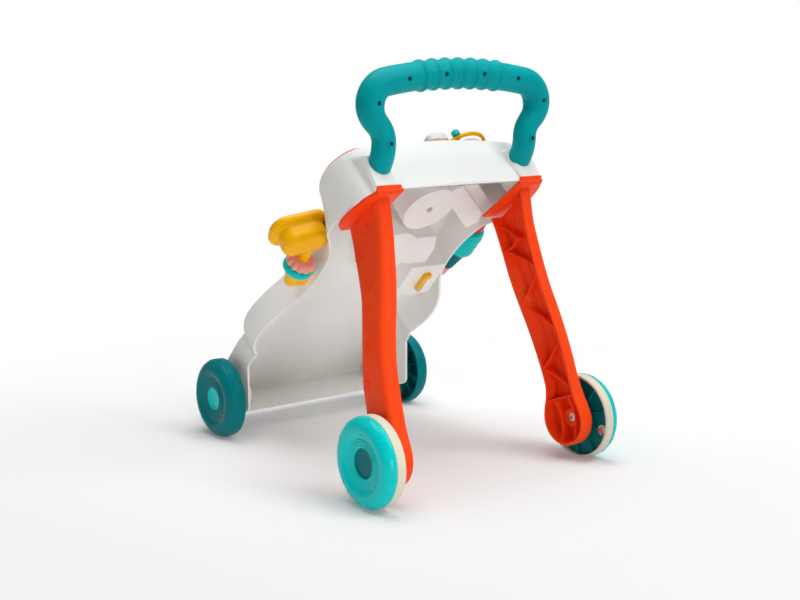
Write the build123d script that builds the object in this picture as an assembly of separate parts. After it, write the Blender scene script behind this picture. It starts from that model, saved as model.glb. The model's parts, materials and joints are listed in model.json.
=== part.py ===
from build123d import *
from math import asin, atan2, cos, degrees, hypot, pi, radians, sin
import os

# Push-along activity walker for a toddler, in millimetres. The child stands behind it (-Y) and
# pushes it forward (+Y); +X is to the right and +Z is up. Everything is drawn from the floor point
# under the rear axle, and write() moves it so that the origin lies under the middle of the object.

# Running gear
WHEELBASE = 341.3
CENTRE_FROM_REAR_AXLE = 181.0
AXLE_R = 4.0
AXLE_HEAD_R = 7.0
AXLE_HEAD_T = 3.0
RUN_CLEAR = 0.05
SIDE_CLEAR = 0.4
RETAINER_R = 7.0
RETAINER_T = 1.5
HUB_R = 9.0
HUB_OUT = 1.2

REAR_R = 50.0
REAR_INNER_X = 147.1
GRIP_RING_W = 11.3
GRIP_RING_WALL = 3.0
GRIP_FLANGE_T = 3.0
GRIP_FLANGE_R = 34.0
DOME_W = 13.2
DOME_WALL = 2.6
DOME_CREST_R = 37.0
DISH_DEPTH = 3.2
DISH_STEPS = 4
REAR_CAP_R = 16.4
REAR_DISC_T = 3.0
REAR_SPOKES = 10
SPOKE_T = 1.6
SPOKE_LAP = 0.5
SPOKE_FROM_EDGE = 1.0
LUG_COUNT = 3
LUG_START = 74.0
LUG_R = 6.0
LUG_CIRCLE_R = 39.5
LUG_FROM_EDGE = 2.6
DOME_POST_R = 4.2
DOME_POST_LAP = 0.4
WHEEL_SCREW_R = 1.5
WHEEL_SCREW_HEAD_R = 3.7
WHEEL_SCREW_HEAD_T = 1.6
WHEEL_SCREW_BITE = 6.0
SCREW_TIP_GAP = 0.6
RING_EDGE = 0.8
CAP_WALL = 1.6
CAP_PROUD = 0.4
CAP_SEAT = 1.0
CAP_TAPER = 2.5
REAR_CAP_FLOOR = 5.0
FRONT_CAP_SINK = 3.0
DISH_RING_W = 9.0
DISH_RING_RISE = 0.8
DISH_LIP = 1.5
CREST_FLAT = 5.0
HUB_THROUGH = 2.2
AXLE_END = 0.6
AXLE_HEAD_ROUND = 1.2
AXLE_SOCKET_SHARE = 0.4
AXLE_SOCKET_D = 1.5

FRONT_R = 49.5
FRONT_INNER_X = 135.7
FRONT_W = 22.2
FRONT_WALL = 3.0
FRONT_SHOULDER = 10.0
FRONT_CREST_R = 35.0
FRONT_EDGE = 1.0
FRONT_SPOKE_IN = 6.0
FRONT_RETAINER_IN = 9.0
FRONT_CAP_R = 14.6
FRONT_BOSS_R = 13.0
FRONT_AXLE_HEAD_X = 103.0

# Panel: a tub that is open to the child's side and leans back. Panel points are half width x,
# distance v up the slope and depth d behind the front face.
PANEL_SLOPE = 46.0
PANEL_Y = 232.8
PANEL_Z = 224.9
SHELL_WALL = 3.0
SHELL_EDGE = [(0.0, 4.2), (0.5, 2.4), (1.6, 0.9), (4.2, 0.0)]
SHELL_LOFT_DEPTH = 45.0
SHELL_DEPTH = 100.0
SHELL_BOTTOM_Z = 33.0
SHELL_FRONT_Y = 412.0
ROOF_BACK_Y = 39.0
ROOF_BACK_Z = 331.0
ROOF_CROWN_FRONT = 216.0
ROOF_CROWN_RIM = 213.5
SHOULDER_RIM = (98.0, 289.0)
WAIST_RIM_DEPTH = 39.5
WAIST_RIM_TOP = 96.0
FOOT_RIM_Y = 304.0
FOOT_RIM_R = 11.0
FOOT_RIM_V = -130.0
# Side of the tub from shoulder to floor, at the front face and at the rim
SIDE_FRONT = [(112, 207), (128, 194), (137, 172), (130, 145), (112, 121), (101, 97), (97, 60),
              (97.5, 28), (105, 0), (118, -26), (129, -54), (134, -84), (130, -106), (121, -124),
              (124, -142), (125, -300)]
SIDE_RIM = [(116, 209.5), (128.5, 198.5), (136.5, 167), (130, 120), (117, 97), (104, 75), (98, 46),
            (99, 20), (106, -4), (119, -27), (130, -50), (137, -85), (132, -106), (122, -122),
            (126, -140), (125, -300)]
NOTCH = 13

# Handle pods on the roof
POD_INNER_X = 91.0
POD_OUTER_X = 118.0
POD_INNER_FLARE = 4.5
POD_OUTER_FLARE = 2.5
POD_FLARE_H = 5.0
POD_RIM_V = 215.0
POD_RIM_DEPTH = 62.0
POD_RISE = 0.13
POD_CREST_DEPTH = 24.0
POD_FRONT_DEPTH = 10.0
POD_FRONT_V = 204.0
POD_ROOT_V = 196.0
POD_BLOCK_V = 180.0
POD_BLOCK_TOP_V = 211.0

# Wells and trays formed in the back of the panel: centre x, v, outer radius and depth
SPINNER_X, SPINNER_V, SPINNER_WELL_R, SPINNER_WELL_D = 0.0, 147.0, 34.0, 46.0
GEAR_X, GEAR_V, GEAR_WELL_R, GEAR_WELL_D = -13.0, 67.0, 35.0, 43.0
LEDGE = [(-10, 87), (48, 87), (58, 62), (58, 37), (28, 37), (-10, 50)]
LEDGE_D = 40.0
TRAY = [(28, 152), (82, 103), (95, 113), (91, 131), (32, 181), (12, 172)]
TRAY_D = 44.0
TRAY_STEP = [(30, 179), (91, 127), (103, 141), (46, 189)]
TRAY_STEP_D = 37.0
LEVER_WELL = [(40, 30), (95, 30), (95, -27), (40, -27)]
LEVER_WELL_D = 42.0

# Fascia and the toys on the front
FASCIA_T = 4.0
FASCIA_ROUND = 1.8
FASCIA_SIDE = [(108, 202.5), (122, 191.5), (131, 171), (125, 147), (108, 124), (93, 104), (85, 82), (80, 58),
               (70, 41), (50, 33)]
FASCIA_CROWN = 205.5
FASCIA_FOOT = 30.0
TOY_SHAFT_R = 4.0
SPINNER_R = 29.0
SPINNER_T = 22.0
SPINNER_PETALS = 8
SPINNER_ROUND = 3.0
SPINNER_CAP_R = 12.0
SPINNER_CAP_H = 7.0
PETAL_SHARE = 0.36
GEAR_TEETH = 12
GEAR_TIP_R = 30.5
GEAR_ROOT_R = 25.0
GEAR_T = 20.0
GEAR_ROUND = 1.2
GEAR_CAP_R = 11.0
GEAR_CAP_H = 6.0
TOOTH_ROOT_SHARE = 0.33
TOOTH_TIP_SHARE = 0.2
TOOTH_LAP = 3.0
TOY_CAP_ROUND_SHARE = 0.8
TOY_GAP = 0.6
TOY_SCREW_R = 1.6
TOY_SCREW_HEAD_R = 3.0
TOY_SCREW_HEAD_T = 1.6
TOY_SCREW_L = 12.0
TOY_SCREW_ROUND = 0.8
CROSS_W = 0.8
CROSS_L = 3.6
CROSS_D = 1.0
DIAL_X, DIAL_V = 64.0, 176.0
DIAL_R = 34.0
DIAL_BAND = 4.2
DIAL_T = 4.6
DIAL_BASE_R = 28.5
DIAL_BASE_T = 7.0
DIAL_BASE_ROUND = 3.0
DIAL_ROUND = 1.5
DIAL_SPOKES = 3
DIAL_SPOKE_T = 3.2
DIAL_KNOB_R = 5.0
DIAL_KNOB_H = 8.0
DIAL_KNOB_ANGLE = 125.0
DIAL_KNOB_ROUND = 3.5
BUTTON_X, BUTTON_V = 13.0, 197.0
BUTTON_W, BUTTON_L, BUTTON_H = 29.0, 25.0, 10.0
BUTTON_CORNER_R = 8.0
BUTTON_ROUND = 4.0
BUTTON_TRAVEL = 3.0
BUTTON_STEM_R = 5.0
BUTTON_STEM_L = 6.0
LEVER_X, LEVER_V = 70.0, -12.0
LEVER_LENGTH = 26.0
LEVER_W = 10.0
LEVER_T = 8.0
LEVER_KNOB_R = 8.0
LEVER_KNOB_OUT = 8.0
LEVER_KNOB_ROUND = 4.8
CLIP_LENGTH = 32.0
CLIP_W = 7.4
CLIP_T = 4.6
CLIP_TAB = 5.0

# Rattle in the left waist and stack in the right waist, both on posts parallel to the slope
RATTLE_X = -120.0
RATTLE_D = 23.7
RATTLE_TILT = 12.0
BLOCK_X, BLOCK_V = -129.0, 78.0
BLOCK_FLANGE_W, BLOCK_FLANGE_H = 72.0, 47.0
BLOCK_BODY_W, BLOCK_BODY_H = 57.0, 35.0
BLOCK_FRONT_D, BLOCK_STEP_D, BLOCK_BACK_D = -4.0, 7.0, 30.0
BLOCK_FLANGE_CORNER_R, BLOCK_FLANGE_ROUND = 19.0, 4.0
BLOCK_BODY_CORNER_R, BLOCK_BODY_ROUND = 15.0, 6.0
RATTLE_POST_R = 6.5
RATTLE_POST_LOW = 9.0
RATTLE_POST_TOP = 67.0
CUP_LOW, CUP_TOP = 5.0, 27.0
CUP_LOW_R, CUP_TOP_R = 7.0, 12.5
WAIST_WEB_X = 85.0
SCALLOP_R = 18.4
SCALLOP_T = 11.0
SCALLOPS = 12
SCALLOP_DIP = 1.5
SCALLOP_LOBE_R = 3.0
SCALLOP_CHAMFER = 1.2
SMOOTH_RING_R = 18.4
SMOOTH_RING_T = 10.0
SMOOTH_RING_ROUND = 4.5
STACK_X = 121.0
STACK_D = 20.7
STACK_POST_R = 4.0
STACK_POST_LOW = -32.0
STACK_POST_TOP = 90.0
STACK_CONE = (-15.0, 1.5, 6.5, 9.3)
STACK_DRUM = (2.1, 34.8, 9.6, 15.6)
STACK_DRUM_GROOVES = 5
STACK_DRUM_BAND = (0.2, 0.7)
STACK_GROOVE_D = 1.6
STACK_EDGE = 1.0
STACK_ROLLER = (35.4, 77.0, 20.6)
# Bands and grooves of the roller as shares of its length and radius
STACK_ROLLER_BANDS = [(0.0, 0.86), (0.04, 0.95), (0.22, 1.0), (0.26, 0.96), (0.3, 1.0), (0.5, 1.0),
                      (0.54, 0.95), (0.58, 0.98), (0.76, 0.92), (0.8, 0.86), (0.9, 0.76),
                      (0.97, 0.64), (1.0, 0.55)]
STACK_CAP = (77.6, 98.0, 15.0)
STACK_CAP_ROUND = 3.0
STACK_CAP_ROOT_X = 92.0

# Legs: U-channels open to the inside. Sections are height, back, front, inner side, outer side and
# how far the front wall slants back at the outer side
LEG_WALL = 3.0
LEG_BULB_R = 32.0
LEG_BULB_X = (124.0, 145.6)
LEG_SECTIONS = [(50, -27, 25, 124, 145.6, 0), (80, -20, 27, 122.7, 143.6, 0), (100, -12, 34.8, 121.8, 141, 0),
                (125, -4.2, 45.3, 120.6, 139.5, 4), (150, 4, 55.9, 118.3, 137, 10.5),
                (180, 13, 68, 112.6, 131.5, 15), (210, 21.4, 75.7, 105.2, 124.3, 12),
                (240, 28.8, 83.7, 100.2, 118.8, 4.5), (270, 36.6, 93.5, 96.5, 115, 0),
                (290, 41, 104, 95, 113.3, 0), (345, 49, 142, 95, 113, 0)]
LEG_RIB_T = 1.8
LEG_RIB_DROP = 2.5
LEG_ZIGZAG = [(100, 275), (58, 262), (80, 243), (26, 229), (68, 180), (3, 154), (36, 105), (-19, 84),
              (29, 66)]
LEG_BULB_RIBS = [((16, 69), (3, 20)), ((-8.6, 77), (-17, 23))]
LEG_BOSS_R = 11.5
LEG_BOSS_H = 9.0
HEAD_CLEAR = 0.3
FLANGE_T = 4.5
FLANGE_SINK = 2.4
FLANGE_INNER_X = 88.0
FLANGE_OUTER_X = 116.0
FLANGE_BACK_Y = 46.0
FLANGE_FRONT_Y = 107.0
LEG_SCREW_SHARE = 0.35
LEG_SCREW_R = 2.0
LEG_SCREW_HEAD_R = 4.0
LEG_SCREW_HEAD_T = 2.4
LEG_SCREW_BITE = 10.0

# Handle: a two-part tube with a ringed grip
HANDLE_Y = 49.0
HANDLE_CROWN_Z = 453.3
HANDLE_R = 15.2
HANDLE_LEG_R = 13.4
HANDLE_WALL = 2.5
GRIP_ARC_R = 565.0
GRIP_HALF = 98.5
CORNER_R = 25.0
CORNER_LEAN = 42.0
CORNER_RUN = 7.0
NECK_R = 26.0
FOOT_BEND_R = 40.0
FOOT_BEND = 34.0
FOOT_RUN = 22.0
SOCKET_CLEAR = 0.1
SOCKET_LEAD = 5.0
SOCKET_END_GAP = 0.5
GRIP_RINGS = 7
GRIP_RING_PITCH = 17.8
GRIP_BEAD_R = 17.3
GRIP_BEAD_W = 6.5
GRIP_BEAD_ROUND = 1.6
HANDLE_HOLES = [(26.9, 452.4), (77.4, 447.8), (117.7, 422.6), (101.5, 380.0)]
HANDLE_HOLE_R = 2.5
HANDLE_BOSS_R = 4.4
HANDLE_SCREW_R = 1.4
HANDLE_SCREW_HEAD_T = 1.8
HANDLE_SCREW_SEAT = 6.0
HANDLE_SCREW_BITE = 8.0

# Cuts run past the face that they cut, and helper boxes reach well past the object
OVERCUT = 1.0
REACH = 600.0

slope = radians(PANEL_SLOPE)
PANEL = Plane((0, PANEL_Y, PANEL_Z), x_dir=(1, 0, 0), z_dir=(0, -sin(slope), -cos(slope)))
UP_SLOPE = Rot(-90, 0, 0)
HANDLE_PLANE = Plane((0, HANDLE_Y, 0), x_dir=(1, 0, 0), z_dir=(0, -1, 0))


def on_panel(shape):
    """Places a shape drawn in panel x, v, d on the leaning panel."""
    return PANEL.location * shape


def panel_post(x, d, low, high, radius):
    """Round bar parallel to the slope."""
    return Pos(x, (low + high) / 2, d) * UP_SLOPE * Cylinder(radius, high - low)


def panel_disc(x, v, radius, front, back):
    """Round disc square to the panel between two depths."""
    return Pos(x, v, (front + back) / 2) * Cylinder(radius, back - front)


def panel_prism(face, front, back):
    return extrude(Pos(0, 0, front) * face, back - front, dir=(0, 0, 1))


def along_x(face_yz, low, high):
    """Extrudes a face drawn in y, z from x = low to x = high."""
    return Pos(low, 0, 0) * extrude(Plane.YZ * face_yz, high - low, dir=(1, 0, 0))


def disc_x(y, z, radius, low, high):
    return Pos((low + high) / 2, y, z) * Rot(0, 90, 0) * Cylinder(radius, high - low)


def polygon(points):
    return make_face(Polyline(*points, close=True))


def turned_x(points, y, z):
    """Solid of revolution about the X direction from points in x, r."""
    return Pos(0, y, z) * revolve(polygon(points), Axis.X)


def inset(points, amount):
    """Moves the points of a right-hand side inwards, square to the run through their neighbours."""
    moved = []
    last = len(points) - 1
    for i, (x, v) in enumerate(points):
        x0, v0 = points[max(i - 1, 0)]
        x1, v1 = points[min(i + 1, last)]
        run = hypot(x1 - x0, v1 - v0)
        moved.append((x + amount * (v1 - v0) / run, v - amount * (x1 - x0) / run))
    return moved


def mirrored(points):
    return [(-x, v) for x, v in points]


def tub_outline(side, crown):
    """Face of the tub's outline: crowned roof, curved sides down to the notch, straight feet."""
    left = mirrored(side)
    lines = ThreePointArc(left[0], (0, crown), side[0])
    for edge in (side, left):
        lines += Spline(*edge[:NOTCH + 1])
        lines += Polyline(*edge[NOTCH:])
    lines += Line(side[-1], left[-1])
    return make_face(lines)


def tub_section(depth, amount):
    """Outline of the tub at a depth between the front and the rim, moved inwards by amount."""
    share = depth / SHELL_LOFT_DEPTH
    pairs = zip(SIDE_FRONT, SIDE_RIM)
    side = [(x0 + (x1 - x0) * share, v0 + (v1 - v0) * share) for (x0, v0), (x1, v1) in pairs]
    crown = ROOF_CROWN_FRONT + (ROOF_CROWN_RIM - ROOF_CROWN_FRONT) * share
    return Pos(0, 0, depth) * tub_outline(inset(side, amount), crown - amount)


def tub(wall, edge=()):
    """Solid tub in panel x, v, d, moved inwards by wall; edge lists the rounding as depth and inset."""
    rim = tub_section(SHELL_LOFT_DEPTH, wall)
    first = [] if edge else [tub_section(wall, wall)]
    sections = [tub_section(depth, amount) for depth, amount in edge] + first + [rim]
    return loft(sections, ruled=True) + extrude(rim, SHELL_DEPTH - SHELL_LOFT_DEPTH, dir=(0, 0, 1))


def panel_yz(v, d):
    """y, z of a point on the middle plane of the panel."""
    point = PANEL.from_local_coords(Vector(0, v, d))
    return (point.Y, point.Z)


def rim_zone():
    """Everything in front of the rim, above the bottom and behind the front edge."""
    y_low, z_low = panel_yz(FOOT_RIM_V, WAIST_RIM_DEPTH)
    y_high, z_high = panel_yz(WAIST_RIM_TOP, WAIST_RIM_DEPTH)
    foot_z = z_low + (z_high - z_low) * (FOOT_RIM_Y - y_low) / (y_high - y_low)
    corner = (FOOT_RIM_Y, SHELL_BOTTOM_Z)
    face = polygon([(ROOF_BACK_Y, REACH), (ROOF_BACK_Y, ROOF_BACK_Z), SHOULDER_RIM, (y_high, z_high),
                    (FOOT_RIM_Y, foot_z), corner, (SHELL_FRONT_Y, SHELL_BOTTOM_Z), (SHELL_FRONT_Y, REACH)])
    bends = [v for v in face.vertices() if (v.X, v.Y) == corner]
    return along_x(fillet(bends, FOOT_RIM_R), -REACH, REACH)


def wells():
    """Wells in the panel's front: depth, outer face and hollow face."""
    spinner = Pos(SPINNER_X, SPINNER_V) * Circle(SPINNER_WELL_R)
    gear = Pos(GEAR_X, GEAR_V) * Circle(GEAR_WELL_R)
    faces = [(SPINNER_WELL_D, spinner, offset(spinner, -SHELL_WALL)),
             (GEAR_WELL_D, gear, offset(gear, -SHELL_WALL))]
    trays = [(LEDGE_D, LEDGE, gear), (TRAY_D, TRAY, spinner), (LEVER_WELL_D, LEVER_WELL, gear)]
    for depth, points, neighbour in trays:
        face = polygon(points)
        faces.append((depth, face, offset(face, -SHELL_WALL) - neighbour))
    return faces


def handle_end():
    """Start point and direction of the straight run that enters the right-hand pod."""
    x, z = handle_neck()
    bend = radians(FOOT_BEND)
    start = Vector(x, HANDLE_Y + FOOT_BEND_R * (1 - cos(bend)), z - FOOT_BEND_R * sin(bend))
    return start, Vector(0, sin(bend), -cos(bend))


def grip_point(x):
    """Height of the grip's centre line and its downward angle at x."""
    angle = asin(x / GRIP_ARC_R)
    return HANDLE_CROWN_Z - GRIP_ARC_R * (1 - cos(angle)), angle


def handle_neck():
    """x, z where the tube turns straight down, after the corner, the lean and the neck."""
    z, angle = grip_point(GRIP_HALF)
    lean = radians(CORNER_LEAN)
    centre_x = GRIP_HALF - CORNER_R * sin(angle)
    centre_z = z - CORNER_R * cos(angle)
    x = centre_x + CORNER_R * cos(lean) - CORNER_RUN * sin(lean)
    z = centre_z - CORNER_R * sin(lean) - CORNER_RUN * cos(lean)
    return x + NECK_R * (cos(lean) - 1), z - NECK_R * sin(lean)


def handle_socket():
    """Bar that fills the right-hand handle socket in the pod."""
    start, direction = handle_end()
    length = FOOT_RUN + SOCKET_LEAD
    bar = Pos(0, 0, length / 2 - SOCKET_LEAD) * Cylinder(HANDLE_LEG_R + SOCKET_CLEAR, length)
    return Plane(start, z_dir=direction).location * bar


def leg_screw_axis():
    """Plane on top of the flange where the right leg's screw passes, z up along the screw."""
    dy = SHOULDER_RIM[0] - ROOF_BACK_Y
    dz = SHOULDER_RIM[1] - ROOF_BACK_Z
    run = hypot(dy, dz)
    middle_x = (LEG_SECTIONS[-1][3] + LEG_SECTIONS[-1][4]) / 2
    up = Vector(0, -dz / run, dy / run)
    rim = Vector(middle_x, ROOF_BACK_Y + LEG_SCREW_SHARE * dy, ROOF_BACK_Z + LEG_SCREW_SHARE * dz)
    return Plane(rim + FLANGE_SINK * up, x_dir=(1, 0, 0), z_dir=up)


def pod(side):
    """Raised block on the roof that takes a leg of the handle: flared sides and a sloping front."""
    crest_v = POD_RIM_V + (POD_RIM_DEPTH - POD_CREST_DEPTH) * POD_RISE
    back_v = POD_RIM_V + (POD_RIM_DEPTH - SHELL_DEPTH) * POD_RISE
    inner = POD_INNER_X - POD_INNER_FLARE
    outer = POD_OUTER_X + POD_OUTER_FLARE
    sections = []
    for depth, top in ((POD_FRONT_DEPTH, POD_FRONT_V), (POD_CREST_DEPTH, crest_v), (SHELL_DEPTH, back_v)):
        knee = top - POD_FLARE_H
        outline = [(inner, POD_ROOT_V), (inner, knee), (POD_INNER_X, top), (POD_OUTER_X, top), (outer, knee),
                   (outer, POD_ROOT_V)]
        sections.append(Pos(0, 0, depth) * polygon([(side * x, v) for x, v in outline]))
    return loft(sections, ruled=True)


def pod_block(side):
    """Thick part of the shell under a pod, for the handle socket and the leg's screw."""
    width = POD_OUTER_X - POD_INNER_X
    height = POD_BLOCK_TOP_V - POD_BLOCK_V
    depth = SHELL_DEPTH - POD_CREST_DEPTH
    middle = side * (POD_INNER_X + POD_OUTER_X) / 2
    return Pos(middle, POD_BLOCK_V + height / 2, SHELL_DEPTH - depth / 2) * Box(width, height, depth)


def tub_hollow():
    """Space inside the tub, above its floor and behind its front edge."""
    front = SHELL_FRONT_Y - SHELL_WALL
    floor_z = SHELL_BOTTOM_Z + SHELL_WALL
    room = Pos(0, front - REACH / 2, floor_z + REACH / 2) * Box(REACH, REACH, REACH)
    return on_panel(tub(SHELL_WALL)) & room


def panel_shell():
    """Tub with its pods, wells, bosses and the cuts for what is joined to it."""
    outer = tub(0, SHELL_EDGE)
    backs = panel_prism(polygon(TRAY_STEP), TRAY_STEP_D - 2 * SHELL_WALL, TRAY_STEP_D)
    cuts = []
    for depth, face, hollow in wells():
        backs += panel_prism(face, 0, depth)
        cuts.append(on_panel(panel_prism(hollow, -OVERCUT, depth - SHELL_WALL)))
    for side in (-1, 1):
        outer += pod(side)
    zone = rim_zone()
    shell = (on_panel(outer) & zone) - tub_hollow()
    shell += on_panel(backs & outer)
    for side in (-1, 1):
        shell += on_panel(pod_block(side) & outer) & zone
    for cut in cuts + toy_bores():
        shell -= cut
    for side in (-1, 1):
        shell += wheel_boss(side)
    axle = disc_x(WHEELBASE, FRONT_R, AXLE_R, FRONT_AXLE_HEAD_X - AXLE_HEAD_T, FRONT_INNER_X)
    screw = Pos(0, 0, LEG_SCREW_BITE / 2) * Cylinder(LEG_SCREW_R, LEG_SCREW_BITE)
    for cut in (axle, handle_socket(), flange_recess(), leg_screw_axis().location * screw):
        shell -= cut
        shell -= mirror(cut, Plane.YZ)
    return shell - on_panel(stack_post_bar())


def toy_bores():
    """Holes in the panel for the toys' shafts and the button's stem."""
    bores = []
    for x, v, depth in ((SPINNER_X, SPINNER_V, SPINNER_WELL_D), (GEAR_X, GEAR_V, GEAR_WELL_D),
                        (LEVER_X, LEVER_V, LEVER_WELL_D)):
        bores.append(panel_disc(x, v, TOY_SHAFT_R + RUN_CLEAR, depth - 2 * SHELL_WALL, depth + OVERCUT))
    stem_room = BUTTON_STEM_L + SHELL_EDGE[0][1]
    bores.append(panel_disc(BUTTON_X, BUTTON_V, BUTTON_STEM_R + RUN_CLEAR, -OVERCUT, stem_room))
    return [on_panel(bore) for bore in bores]


def wheel_boss(side):
    """Boss on the side of the foot that carries a front wheel's axle."""
    low = FRONT_AXLE_HEAD_X + AXLE_HEAD_T
    high = FRONT_INNER_X - SIDE_CLEAR
    return disc_x(WHEELBASE, FRONT_R, FRONT_BOSS_R, *sorted((side * low, side * high)))


def front_fascia():
    left = mirrored(FASCIA_SIDE)
    lines = ThreePointArc(left[0], (0, FASCIA_CROWN), FASCIA_SIDE[0])
    lines += Spline(*FASCIA_SIDE)
    lines += Spline(*left)
    lines += ThreePointArc(FASCIA_SIDE[-1], (0, FASCIA_FOOT), left[-1])
    plate = panel_prism(make_face(lines), -FASCIA_T, 0)
    plate = fillet(plate.edges().group_by(Axis.Z)[0], FASCIA_ROUND)
    for x, v, r in ((SPINNER_X, SPINNER_V, SPINNER_WELL_R), (GEAR_X, GEAR_V, GEAR_WELL_R)):
        plate -= panel_disc(x, v, r - SHELL_WALL, -2 * FASCIA_T, OVERCUT)
    plate -= panel_disc(BUTTON_X, BUTTON_V, BUTTON_STEM_R + RUN_CLEAR, -2 * FASCIA_T, OVERCUT)
    return on_panel(plate)


def well_toy(x, v, well_d, thickness, face, rim_round):
    """Turning toy in a round well: a body level with the fascia and a shaft in the well's floor."""
    front = -FASCIA_T
    body = panel_prism(Pos(x, v) * face, front, front + thickness)
    body = fillet(body.edges().group_by(Axis.Z)[0], rim_round)
    body += panel_disc(x, v, HUB_R, front, well_d - SHELL_WALL - TOY_GAP)
    body += panel_disc(x, v, TOY_SHAFT_R, front, well_d)
    return on_panel(body - panel_disc(x, v, TOY_SCREW_R, well_d - TOY_SCREW_L - SCREW_TIP_GAP, well_d))


def petal_face():
    lobe_r = SPINNER_R * PETAL_SHARE
    face = Circle(SPINNER_R - lobe_r)
    for i in range(SPINNER_PETALS):
        face += Rot(0, 0, 360 / SPINNER_PETALS * i) * Pos(SPINNER_R - lobe_r, 0) * Circle(lobe_r)
    return face


def gear_face():
    face = Circle(GEAR_ROOT_R)
    pitch = 2 * pi * GEAR_ROOT_R / GEAR_TEETH
    half_root = pitch * TOOTH_ROOT_SHARE
    half_tip = pitch * TOOTH_TIP_SHARE
    root = GEAR_ROOT_R - TOOTH_LAP
    tooth = polygon([(root, -half_root), (GEAR_TIP_R, -half_tip), (GEAR_TIP_R, half_tip), (root, half_root)])
    for i in range(GEAR_TEETH):
        face += Rot(0, 0, 360 / GEAR_TEETH * i) * tooth
    return face


def dome_cap(x, v, radius, height):
    """Rounded button that sits on a toy's front face."""
    cap = panel_disc(x, v, radius, -FASCIA_T - height, -FASCIA_T)
    return on_panel(fillet(cap.edges().group_by(Axis.Z)[0], height * TOY_CAP_ROUND_SHARE))


def toy_screw(x, v, depth):
    """Screw from behind with its washer-like head on the shaft's end and a cross recess."""
    screw = panel_disc(x, v, TOY_SCREW_HEAD_R, depth, depth + TOY_SCREW_HEAD_T)
    screw = fillet(screw.edges().group_by(Axis.Z)[-1], TOY_SCREW_ROUND)
    screw += panel_disc(x, v, TOY_SCREW_R, depth - TOY_SCREW_L, depth)
    for turn in (0, 90):
        slot = Rot(0, 0, turn) * Box(CROSS_L, CROSS_W, 2 * CROSS_D)
        screw -= Pos(x, v, depth + TOY_SCREW_HEAD_T) * slot
    return on_panel(screw)


def dial_base():
    base = panel_disc(DIAL_X, DIAL_V, DIAL_BASE_R, -FASCIA_T - DIAL_BASE_T, -FASCIA_T)
    base = fillet(base.edges().group_by(Axis.Z)[0], DIAL_BASE_ROUND)
    base += panel_disc(DIAL_X, DIAL_V, TOY_SHAFT_R, -FASCIA_T - DIAL_BASE_T - DIAL_T - TOY_GAP, -FASCIA_T)
    return on_panel(base)


def dial_front():
    return -FASCIA_T - DIAL_BASE_T - TOY_GAP - DIAL_T


def dial_ring():
    front = dial_front()
    middle = DIAL_R - DIAL_BAND / 2
    ring = panel_prism(Circle(DIAL_R) - Circle(DIAL_R - DIAL_BAND), front, front + DIAL_T)
    ring = fillet(ring.edges().filter_by(GeomType.CIRCLE), DIAL_ROUND)
    ring += panel_prism(Circle(HUB_R), front, front + DIAL_T)
    for i in range(DIAL_SPOKES):
        spoke = Pos(middle / 2, 0, front + DIAL_T / 2) * Box(middle, DIAL_BAND, DIAL_SPOKE_T)
        ring += Rot(0, 0, DIAL_KNOB_ANGLE + 360 / DIAL_SPOKES * i) * spoke
    ring -= panel_disc(0, 0, TOY_SHAFT_R + RUN_CLEAR, front - OVERCUT, 0)
    return on_panel(Pos(DIAL_X, DIAL_V, 0) * ring)


def dial_knob():
    front = dial_front()
    angle = radians(DIAL_KNOB_ANGLE)
    reach = DIAL_R - DIAL_BAND / 2
    x = DIAL_X + reach * cos(angle)
    v = DIAL_V + reach * sin(angle)
    knob = panel_disc(x, v, DIAL_KNOB_R, front - DIAL_KNOB_H, front)
    return on_panel(fillet(knob.edges().group_by(Axis.Z)[0], DIAL_KNOB_ROUND))


def melody_button():
    back = -FASCIA_T - BUTTON_TRAVEL - TOY_GAP
    outline = Pos(BUTTON_X, BUTTON_V) * RectangleRounded(BUTTON_W, BUTTON_L, BUTTON_CORNER_R)
    key = panel_prism(outline, back - BUTTON_H, back)
    key = fillet(key.edges().group_by(Axis.Z)[0], BUTTON_ROUND)
    key += panel_disc(BUTTON_X, BUTTON_V, BUTTON_STEM_R, back, BUTTON_STEM_L - BUTTON_TRAVEL - TOY_GAP)
    return on_panel(key)


def lever_arm():
    """Arm in its well with a knob that stands out of the panel and a shaft through the well's floor."""
    back = LEVER_WELL_D - SHELL_WALL - TOY_GAP
    front = back - LEVER_T
    tip_v = LEVER_V + LEVER_LENGTH
    slot = Rot(0, 0, 90) * SlotCenterToCenter(LEVER_LENGTH, LEVER_W)
    arm = panel_prism(Pos(LEVER_X, LEVER_V + LEVER_LENGTH / 2) * slot, front, back)
    knob = panel_disc(LEVER_X, tip_v, LEVER_KNOB_R, -LEVER_KNOB_OUT, front)
    arm += fillet(knob.edges().group_by(Axis.Z)[0], LEVER_KNOB_ROUND)
    arm += panel_disc(LEVER_X, LEVER_V, TOY_SHAFT_R, front, LEVER_WELL_D + TOY_GAP)
    hole_low = lever_screw_depth() - TOY_SCREW_L - SCREW_TIP_GAP
    return on_panel(arm - panel_disc(LEVER_X, LEVER_V, TOY_SCREW_R, hole_low, LEVER_WELL_D + CLIP_T))


def lever_screw_depth():
    """Depth of the seat of the lever's screw in the clip."""
    return LEVER_WELL_D + TOY_GAP + CLIP_T - TOY_SCREW_HEAD_T


def lever_clip():
    """Yellow bar on the back of the lever's shaft, seen inside the tub."""
    front = LEVER_WELL_D + TOY_GAP
    back = front + CLIP_T
    reach = CLIP_LENGTH - CLIP_W
    slot = Pos(LEVER_X, LEVER_V + reach / 2) * Rot(0, 0, 90) * SlotCenterToCenter(reach, CLIP_W)
    tab = Pos(LEVER_X + CLIP_W / 2, LEVER_V + reach) * Rectangle(CLIP_TAB, CLIP_W)
    bar = panel_prism(slot + tab, front, back)
    bar -= panel_disc(LEVER_X, LEVER_V, TOY_SCREW_HEAD_R + SOCKET_CLEAR, lever_screw_depth(), back)
    return on_panel(bar - panel_disc(LEVER_X, LEVER_V, TOY_SCREW_R, front, back))


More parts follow.
